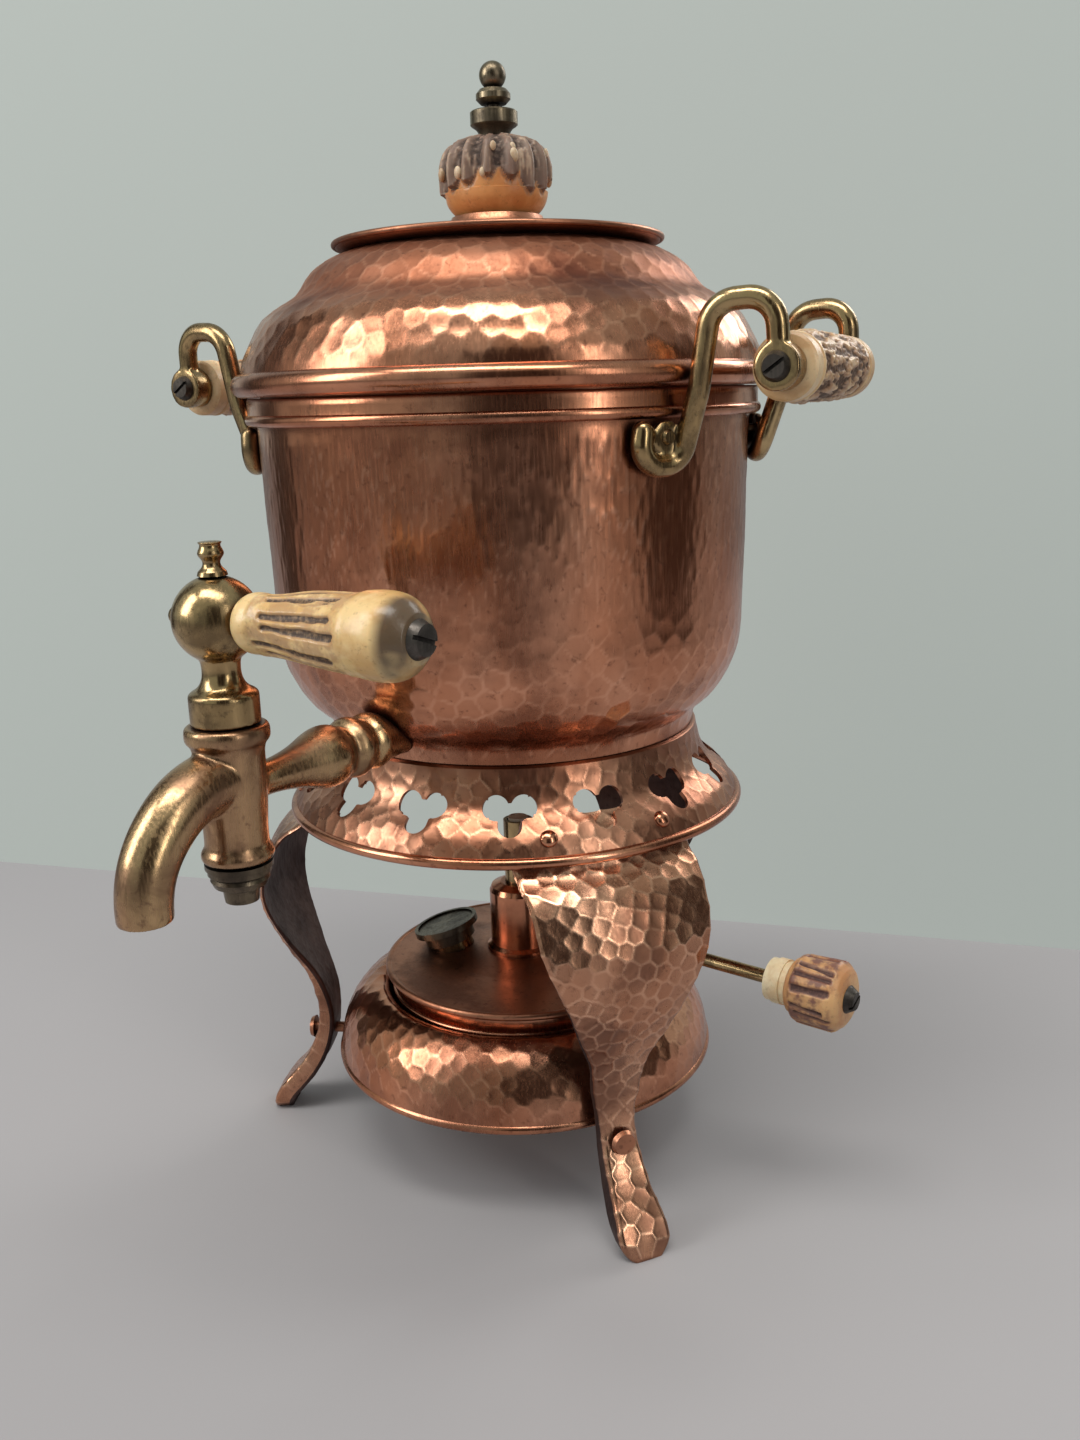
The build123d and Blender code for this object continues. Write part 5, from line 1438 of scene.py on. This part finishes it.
@dataclass
class AntlerRod:
    """A turned length of antler between two faces, rough in its middle.

    Attributes:
        start: Middle of its first face, in millimetres.
        way: Direction of its axis.
        outline: Distance along and radius, face to face.
        rough: First and last place along of the rough skin.
        bore: Radius of its hole.
    """

    start: Spot
    way: Spot
    outline: Sequence[Point]
    rough: Point
    bore: float

    def build(self, name: str, body: str, shop: Workshop, finish: str, depth: float, cover: float,
              stretch_by: float, scale: float, wobble: float = 0.25, flutes: int = 0,
              stained: float = 0.0) -> Piece:
        """Builds the piece.

        Args:
            name: Name of the piece.
            body: CAD body that it rides on.
            shop: Shared trees and finishes.
            finish: Name of its finish.
            depth: Depth of the pits in millimetres.
            cover: Share of the skin that is pitted.
            stretch_by: How much longer than wide the pits are.
            scale: Pits per metre, across.
            wobble: How far the outline wanders, in millimetres.
            flutes: Count of long grooves round the rough skin.
            stained: Length of the stain round its last face, in millimetres.

        Returns:
            The piece.
        """
        line = straight(list(self.outline), 0.45)
        length = line[-1, 0]
        columns = int(2 * pi * line[:, 1].max() / 0.5)
        turn = np.arange(columns) * 2 * pi / columns
        axis = Vector(self.way).normalized()
        side = axis.cross(Vector((0, 0, 1))).normalized()
        up = side.cross(axis)
        rough_low, rough_high = self.rough
        fade, fade_part = 1.5, 0.05
        skin = np.clip((line[:, 0] - rough_low) / fade, 0, 1)
        skin *= np.clip((rough_high - line[:, 0]) / fade, 0, 1)
        loops, shares, owns, cuts, stains = [], [], [], [], []
        draw = np.random.default_rng(len(name))
        middles = (np.arange(flutes) + draw.uniform(-0.22, 0.22, flutes)) * 2 * pi / max(1, flutes)
        heads, tails = draw.uniform(0.0, 0.14, flutes), draw.uniform(0.84, 1.0, flutes)
        bends = draw.uniform(-0.12, 0.12, flutes)
        bore = np.array([(length, self.bore), (0.0, self.bore)])
        full = np.concatenate([line, bore])
        skin = np.concatenate([skin, [0, 0]])
        for (along, radius), share in zip(full, skin):
            wander = np.sin(2 * turn + along * 0.11) + 0.6 * np.sin(3 * turn - along * 0.17)
            reach = radius + wobble * share * wander
            flat_x, flat_y = reach * np.sin(turn), reach * np.cos(turn)
            flat = np.outer(flat_x, np.array(side)) + np.outer(flat_y, np.array(up))
            loops.append(np.array(self.start) + along * np.array(axis) + flat)
            shares.append(np.full(columns, share))
            owns.append(np.stack([np.full(columns, along / stretch_by), flat_x, flat_y], axis=1) * MM)
            cut, part = np.zeros(columns), (along - rough_low) / (rough_high - rough_low)
            for middle, head, tail, bend in zip(middles, heads, tails, bends):
                off = (turn - middle - bend * part + pi) % (2 * pi) - pi
                ends = np.clip((part - head) / fade_part, 0, 1) * np.clip((tail - part) / fade_part, 0, 1)
                cut = np.maximum(cut, np.exp(-((off * flutes / 1.55) ** 2)) * ends)
            cuts.append(cut)
            stain = np.clip((along - length + stained) / 3.0, 0, 1) if stained else 0.0
            stains.append(np.full(columns, stain))
        verts = np.concatenate(loops)
        faces = grid_faces(len(full), columns, True, True)
        mesh_shares = {"skin": np.concatenate(shares), "flute": np.concatenate(cuts),
                       "stain": np.concatenate(stains)}
        made = make_object(name, verts, faces, body, mesh_shares)
        own = made.data.attributes.new("own", "FLOAT_VECTOR", "POINT")
        if len(made.data.vertices) == len(verts):
            own.data.foreach_set("vector", np.concatenate(owns).astype(np.float32).ravel())
        return realise(made, shop.hide, depth=depth * MM, cover=cover, scale=scale,
                       fluted=0.5 if flutes else 0.0, material=shop.finishes.all[finish])


@dataclass
class Handles:
    """The two carrying handles, in millimetres.

    Attributes:
        turn: Turn of the right handle from the tap, in degrees.
        reach: Distance of the grips from the urn's axis.
        height: Height of the grips.
        half: Half the distance between a handle's brackets.
        boss_length: Length of a bracket's boss along the grip.
        grip_radius: Radius of a grip near its ends.
        smooth: Length of each smooth end of a grip.
        bore: Radius of the hole for the rod.
    """

    turn: float = 94.5
    reach: float = 108.3
    height: float = 275.5
    half: float = 34.0
    boss_length: float = 7.4
    grip_radius: float = 10.0
    smooth: float = 7.4
    bore: float = 2.55

    def build(self, shop: Workshop) -> None:
        """Builds both antler grips and dresses the brass.

        Args:
            shop: Shared trees and finishes.
        """
        end = self.half - self.boss_length / 2 - 0.1
        r = self.grip_radius
        near = [(0.0, r - 1.4), (0.8, r - 0.5), (5.0, r - 0.4), (5.5, r - 1.1), (6.3, r - 1.1),
                (6.8, r - 0.3), (14.0, r + 0.2), (end, r + 0.5)]
        outline = near + [(2 * end - along, radius) for along, radius in near[-2::-1]]
        for hand, middle in (("right", self.turn), ("left", self.turn - 180)):
            a = radians(middle)
            side = np.array([cos(a), sin(a), 0.0])
            centre = np.array([self.reach * sin(a), -self.reach * cos(a), self.height])
            rod = AntlerRod(tuple(centre - side * end), tuple(side), outline,
                            (self.smooth, 2 * end - self.smooth), self.bore)
            made = rod.build(f"grip_{hand}", "urn", shop, "Antler", 0.9, 0.52, 3.0, 430.0)
            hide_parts(f"handle_grip_{hand}")
            for place in ("front", "back"):
                shop.cast(f"handle_bracket_{hand}_{place}", f"swan_neck_{hand}_{place}", "urn",
                          "Brass")
        shop.finishes.put(handle_rods="Brass", handle_screws="Steel dark", handle_rivets="Brass")


@dataclass
class Knob:
    """Burr and finial of the small lid, in millimetres.

    Attributes:
        foot: Height of the burr's foot.
        radius: Greatest radius of the burr.
        height: Height of the burr.
        drips: Count of the ridges that hang over its smooth foot.
        pearls: Count of the pearls on them.
        bore: Radius of the hole for the bolt.
    """

    foot: float = 326.4
    radius: float = 17.4
    height: float = 24.0
    drips: int = 14
    pearls: int = 22
    bore: float = 2.05

    def build(self, shop: Workshop) -> None:
        """Builds the burr: a smooth foot, dripping ridges above it and pearls on them.

        Args:
            shop: Shared trees and finishes.
        """
        outline = spline([(0.74 * self.radius, 0.0), (0.90 * self.radius, 0.13 * self.height),
                          (0.98 * self.radius, 0.42 * self.height), (0.96 * self.radius, 0.70 * self.height),
                          (0.78 * self.radius, 0.91 * self.height), (0.50 * self.radius, self.height)], 0.3)
        columns = 240
        turn = np.arange(columns) * 2 * pi / columns
        draw = np.random.default_rng(7)
        ends = draw.uniform(0.16, 0.42, self.drips)
        widths = draw.uniform(0.75, 1.2, self.drips)
        middles = (np.arange(self.drips) + draw.uniform(-0.2, 0.2, self.drips)) * 2 * pi / self.drips
        loops, skins, owns, covers = [], [], [], []
        for radius, height in outline:
            share = height / self.height
            ridge, cover = np.zeros(columns), np.zeros(columns)
            for k in range(self.drips):
                off = (turn - middles[k] + pi) % (2 * pi) - pi
                bell = np.exp(-((off / (0.13 * widths[k])) ** 2))
                over = share - ends[k] - 0.12 * (off / 0.2) ** 2
                ridge = np.maximum(ridge, bell * np.clip(over / 0.06, 0, 1))
                wide_bell = np.exp(-((off / 0.27) ** 2))
                cover = np.maximum(cover, wide_bell * np.clip((over + 0.05) / 0.1, 0, 1))
            cover = np.maximum(cover, np.clip((share - 0.5) / 0.06, 0, 1))
            fade = np.clip((1.02 - share) / 0.12, 0, 1)
            valley, crest = 1.0 * (share > 0.3), 1.5
            reach = radius + (crest * ridge - valley * (1 - ridge)) * fade
            loops.append(np.stack([reach * np.sin(turn), -reach * np.cos(turn),
                                   np.full(columns, self.foot + height)], axis=1))
            skins.append(cover * (0.3 + 0.7 * (1 - ridge)))
            covers.append(cover)
            owns.append(np.stack([np.full(columns, height * 0.16), reach * np.sin(turn),
                                  reach * np.cos(turn)], axis=1) * MM)
        for height in (self.height, 0.0):
            loops.append(np.stack([self.bore * np.sin(turn), -self.bore * np.cos(turn),
                                   np.full(columns, self.foot + height)], axis=1))
            skins.append(np.zeros(columns))
            covers.append(np.full(columns, float(height > 0)))
            owns.append(np.zeros((columns, 3)))
        faces = grid_faces(len(loops), columns, True, True)
        made = make_object("burr", np.concatenate(loops), faces, "lid",
                           {"skin": np.concatenate(skins), "cover": np.concatenate(covers)})
        own = made.data.attributes.new("own", "FLOAT_VECTOR", "POINT")
        own.data.foreach_set("vector", np.concatenate(owns).astype(np.float32).ravel())
        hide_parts("lid_burr")
        realise(made, shop.hide, depth=0.7 * MM, cover=0.6, scale=640.0,
                material=shop.finishes.all["Antler burr"])
        covered = np.zeros(len(made.data.vertices), np.float32)
        made.data.attributes["cover"].data.foreach_get("value", covered)
        shop.finishes.line(made, "Burr skin", lambda face: covered[face.vertices[0]] < 0.5)
        count = self.pearls
        angle = draw.uniform(0, 2 * pi, count)
        high = draw.uniform(0.42, 0.80, count)
        radius = np.interp(high * self.height, outline[:, 1], outline[:, 0]) + 0.5
        places = np.stack([radius * np.sin(angle), -radius * np.cos(angle),
                           self.foot + high * self.height], axis=1)
        facings = np.stack([np.sin(angle), -np.cos(angle), np.zeros(count)], axis=1)
        pearls = shop.bead("burr_pearls", places, facings, draw.uniform(0.5, 0.95, count), "lid", Slot.ANTLER,
                           "Burr pearl", 1.9, 0.75, 1.5)
        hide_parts("lid_burr")
        shop.finishes.put(lid_finial="Brass dark", lid_nut="Brass")


@dataclass
class Tap:
    """The tap with its lever, in millimetres.

    Attributes:
        reach: Distance of the barrel's axis from the urn's.
        ball_height: Height of the middle of the ball.
        lever_start: Distance of the lever's grip from the barrel's axis.
        lever_end: Distance of the grip's far face.
        bore: Radius of the hole for the lever's rod.
        barrel_top: Height of the barrel's top.
        slimmed: Share to which the key is narrowed inside the barrel.
    """

    reach: float = 135.0
    ball_height: float = 215.0
    lever_start: float = 12.6
    lever_end: float = 68.0
    bore: float = 2.55
    barrel_top: float = 186.5
    slimmed: float = 0.95

    def free(self, key: Piece) -> None:
        """Narrows the key inside the barrel, so that two softened castings stay clear as it turns.

        Args:
            key: Casting of the key.
        """
        for spot in key.data.vertices:
            if spot.co.z < self.barrel_top * MM:
                spot.co.x *= self.slimmed
                spot.co.y = (spot.co.y + self.reach * MM) * self.slimmed - self.reach * MM

    def build(self, shop: Workshop) -> None:
        """Builds the lever's antler grip and dresses the brass.

        Args:
            shop: Shared trees and finishes.
        """
        start = self.lever_start
        length = self.lever_end - start
        skin = spline([(0, 7.1), (1.2, 7.7), (6, 7.9), (20, 8.8), (36, 10.2), (46, 11.1), (51.5, 9.9),
                       (length, 6.2)], 0.6)
        rod = AntlerRod((start, -self.reach, self.ball_height), (1.0, 0.0, 0.0), [tuple(p) for p in skin],
                        (5.0, 40.0), self.bore)
        made = rod.build("lever_grip", "tap_key", shop, "Antler pale", 0.75, 0.5, 8.0, 460.0, wobble=0.35,
                         flutes=12, stained=6.5)
        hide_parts("tap_lever_grip")
        shop.cast("tap_body", "tap_casting", "urn", "Brass red", rounds=14)
        self.free(shop.cast("tap_plug", "tap_key_casting", "tap_key", "Brass", rounds=4))
        shop.finishes.put(tap_gasket="Gasket rubber", tap_back_nut="Brass", tap_finial="Brass",
                          tap_lever_rod="Brass", tap_lever_screw="Steel dark", tap_washer="Brass dark",
                          tap_nut="Brass dark")


@dataclass
class Burner:
    """The wick burner and its regulator, in millimetres.

    Attributes:
        turn: Turn of the regulator's rod from the tap, in degrees.
        offset: Distance of the rod's line from the urn's axis.
        height: Height of the rod.
        knob_start: Distance of the knob's near face along the rod.
        knob_length: Length of the knob.
        knob_radius: Radius of the knob.
        bore: Radius of the hole for the rod.
    """

    turn: float = 86.0
    offset: float = 6.45
    height: float = 80.0
    knob_start: float = 109.1
    knob_length: float = 19.0
    knob_radius: float = 11.4
    bore: float = 2.4

    def build(self, shop: Workshop) -> None:
        """Builds the antler knob and dresses the burner.

        Args:
            shop: Shared trees and finishes.
        """
        a = radians(self.turn)
        side, out = np.array([cos(a), sin(a), 0.0]), np.array([sin(a), -cos(a), 0.0])
        start = side * self.offset + out * self.knob_start + np.array([0, 0, self.height])
        r = self.knob_radius
        outline = [(0, 0.72 * r), (0.7, 0.80 * r), (2.0, 0.82 * r), (2.6, 0.95 * r), (3.6, r), (15.5, r),
                   (16.6, 0.95 * r), (18.2, 0.84 * r), (self.knob_length, 0.72 * r)]
        rod = AntlerRod(tuple(start), tuple(out), outline, (1.8, 17.6), self.bore)
        made = rod.build("regulator_antler", "regulator", shop, "Antler bark", 1.1, 0.46, 8.0, 420.0,
                         wobble=0.3, flutes=15)
        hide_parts("regulator_knob")
        shop.finishes.put(regulator_collar="Bone", regulator_rod="Brass", regulator_gland="Brass",
                          regulator_pinion="Brass", regulator_screw="Steel dark", wick="Wick cloth",
                          burner_reservoir="Copper smooth", burner_top="Copper dull",
                          wick_housing="Copper smooth", wick_guide="Brass", filler_neck="Brass",
                          filler_cap="Brass dark")


# Studio


@dataclass
class Studio:
    """Camera, light and floor.

    Attributes:
        camera: Place of the camera in millimetres, before the turn of the frame.
        yaw: Turn of its look, in degrees.
        pitch: How far it looks down, in degrees.
        roll: Roll in degrees.
        frame_turn: Turn from the camera's own frame to the urn's, in degrees.
        lens: Focal length in millimetres.
        wall_turn: Turn of the wall's foot from +X, in degrees.
        wall_distance: Distance of the wall behind the axis, in metres.
    """

    camera: Spot = (0.0, -441.8, 269.7)
    yaw: float = 1.197
    pitch: float = 14.41
    roll: float = -1.66
    frame_turn: float = 35.0
    lens: float = 31.6
    wall_turn: float = 17.96
    wall_distance: float = 0.195

    def axes(self) -> Matrix:
        """Works out the camera's own axes in the urn's frame.

        Returns:
            Turn of the camera, one axis to a column.
        """
        yaw, pitch, roll = radians(self.yaw), radians(self.pitch), radians(self.roll)
        look = Vector((sin(yaw) * cos(pitch), cos(yaw) * cos(pitch), -sin(pitch)))
        right = Vector((cos(yaw), -sin(yaw), 0))
        up = right.cross(look)
        right, up = right * cos(roll) + up * sin(roll), up * cos(roll) - right * sin(roll)
        turn = Matrix.Rotation(radians(self.frame_turn), 3, "Z")
        return Matrix([turn @ right, turn @ up, turn @ -look]).transposed()

    def place_camera(self) -> None:
        """Makes the camera that matches the photograph."""
        data = bpy.data.cameras.new("Camera")
        data.lens, data.sensor_width = self.lens, 36.0
        data.clip_start, data.clip_end = 0.02, 20.0
        made = bpy.data.objects.new("Camera", data)
        bpy.context.scene.collection.objects.link(made)
        spot = Matrix.Rotation(radians(self.frame_turn), 3, "Z") @ (Vector(self.camera) * MM)
        made.matrix_world = Matrix.Translation(spot) @ self.axes().to_4x4()
        bpy.context.scene.camera = made

    def lamp(self, name: str, azimuth: float, distance: float, height: float, size: Point, power: float,
             colour: Colour = (1.0, 1.0, 1.0), aim: float = 0.18) -> None:
        """Adds a soft box that looks at the urn.

        Args:
            name: Name of the lamp.
            azimuth: Its azimuth round the urn, 0 at the tap, in degrees.
            distance: Distance from the axis in metres.
            height: Height in metres.
            size: Width and height of the box in metres.
            power: Power in watts.
            colour: Colour of its light.
            aim: Height that it looks at, in metres.
        """
        data = bpy.data.lights.new(name, "AREA")
        data.shape, data.size, data.size_y = "RECTANGLE", size[0], size[1]
        data.energy, data.color = power, colour
        made = bpy.data.objects.new(name, data)
        a = radians(azimuth)
        made.location = (distance * sin(a), -distance * cos(a), height)
        look = Vector((0, 0, aim)) - made.location
        made.rotation_euler = look.to_track_quat("-Z", "Y").to_euler()
        bpy.context.scene.collection.objects.link(made)

    def sheet(self, name: str, verts: Sequence[Spot], colour: Colour, rough: float = 0.6,
              seen_by: str = "", even: float = 0.0) -> None:
        """Adds a plain card, wall or floor that isn't part of the object.

        Args:
            name: Its name.
            verts: Four corners in metres.
            colour: Its colour.
            rough: Its roughness.
            seen_by: Output of the light path that alone meets it, from its front, or empty for all rays.
            even: Share of its tone that doesn't depend on the lamps.
        """
        mesh = bpy.data.meshes.new(name)
        mesh.from_pydata(list(verts), [], [(0, 1, 2, 3)])
        made = bpy.data.objects.new(name, mesh)
        bpy.context.scene.collection.objects.link(made)
        paint = bpy.data.materials.new(name)
        paint.use_nodes = True
        tree = Tree(paint.node_tree)
        paint.node_tree.nodes.clear()
        lit = tuple((1.0 - even) * channel for channel in colour)
        skin = tree.node("ShaderNodeBsdfPrincipled", {"Base Color": (*lit, 1.0), "Roughness": rough,
                                                      "Emission Color": (*colour, 1.0),
                                                      "Emission Strength": 0.86 * even}).outputs[0]
        if seen_by:
            path = tree.node("ShaderNodeLightPath").outputs[seen_by]
            front = tree.math("SUBTRACT", 1.0, tree.node("ShaderNodeNewGeometry").outputs["Backfacing"])
            clear = tree.node("ShaderNodeBsdfTransparent").outputs[0]
            skin = tree.node("ShaderNodeMixShader", {0: tree.math("MULTIPLY", path, front), 1: clear,
                                                     2: skin}).outputs[0]
        tree.node("ShaderNodeOutputMaterial", {0: skin})
        mesh.materials.append(paint)

    def card(self, name: str, azimuth: float, distance: float, width: float, low: float, high: float,
             colour: Colour) -> None:
        """Adds an upright card that only shows in the metal.

        Args:
            name: Its name.
            azimuth: Its azimuth round the urn, 0 at the tap, in degrees.
            distance: Distance from the axis in metres.
            width: Its width in metres.
            low: Height of its lower edge in metres.
            high: Height of its upper edge in metres.
            colour: Its colour.
        """
        a = radians(azimuth)
        out, side = Vector((sin(a), -cos(a), 0)), Vector((cos(a), sin(a), 0))
        left, right = out * distance + side * width / 2, out * distance - side * width / 2
        self.sheet(name, [(left.x, left.y, low), (right.x, right.y, low), (right.x, right.y, high),
                          (left.x, left.y, high)], colour, 0.9, "Is Glossy Ray")

    def world(self) -> None:
        """Makes the pale world: plain for the camera and for reflections, soft for the light."""
        world = bpy.data.worlds.new("Room")
        bpy.context.scene.world = world
        world.use_nodes = True
        tree = Tree(world.node_tree)
        world.node_tree.nodes.clear()
        path = tree.node("ShaderNodeLightPath").outputs
        seen = tree.math("MAXIMUM", path["Is Camera Ray"], tree.math("MAXIMUM", path["Is Glossy Ray"],
                                                                     path["Is Transmission Ray"]))
        wall = (0.41, 0.455, 0.425)
        light = tree.node("ShaderNodeBackground", {"Color": (0.62, 0.62, 0.62, 1.0), "Strength": 0.75})
        shown = tree.node("ShaderNodeBackground", {"Color": (*wall, 1.0), "Strength": 1.0})
        both = tree.node("ShaderNodeMixShader", {0: seen, 1: light.outputs[0], 2: shown.outputs[0]})
        tree.node("ShaderNodeOutputWorld", {0: both.outputs[0]})

    def build(self) -> None:
        """Builds the whole studio."""
        self.place_camera()
        self.world()
        self.sheet("Floor", [(-6, -6, 0), (6, -6, 0), (6, 6, 0), (-6, 6, 0)], (0.335, 0.33, 0.34))
        a, near = radians(self.wall_turn), self.wall_distance
        along, away = Vector((cos(a), sin(a), 0)), Vector((-sin(a), cos(a), 0)) * near
        first, last = away - along * 4, away + along * 4
        self.sheet("Wall", [(first.x, first.y, 0), (last.x, last.y, 0), (last.x, last.y, 4),
                            (first.x, first.y, 4)], (0.47, 0.515, 0.485), 0.8, "Is Camera Ray", 0.7)
        self.card("Dark card", 40.0, 1.15, 0.85, 0.06, 1.2, (0.028, 0.02, 0.018))
        self.card("Dark card right", 112.0, 0.9, 0.5, 0.0, 0.9, (0.05, 0.04, 0.035))
        self.card("Dark card left", -85.0, 1.0, 0.35, 0.0, 1.2, (0.05, 0.045, 0.04))
        self.lamp("Window", -38.0, 1.15, 0.85, (0.5, 0.95), 8.5, (1.0, 0.98, 0.95))
        self.lamp("Ceiling", 20.0, 0.45, 1.5, (1.2, 0.45), 12.5, (1.0, 0.97, 0.92), aim=0.1)
        self.lamp("Strip", 74.0, 1.2, 0.6, (0.14, 0.9), 2.1, (1.0, 0.96, 0.9))
        self.lamp("Back", 165.0, 1.2, 0.9, (0.5, 0.6), 5.0, (1.0, 0.97, 0.93))
        bpy.context.scene.view_settings.view_transform = "Standard"


def main() -> None:
    """Builds the dressed urn in order and reports each part."""
    logging.basicConfig(level=logging.INFO, format="%(name)s: %(message)s")
    shop = Workshop()
    for part in (Stand(), Pot(), Handles(), Knob(), Tap(), Burner()):
        part.build(shop)
        LOG.info("%s dressed", type(part).__name__)
    Studio().build()


if __name__ == "__main__":
    main()
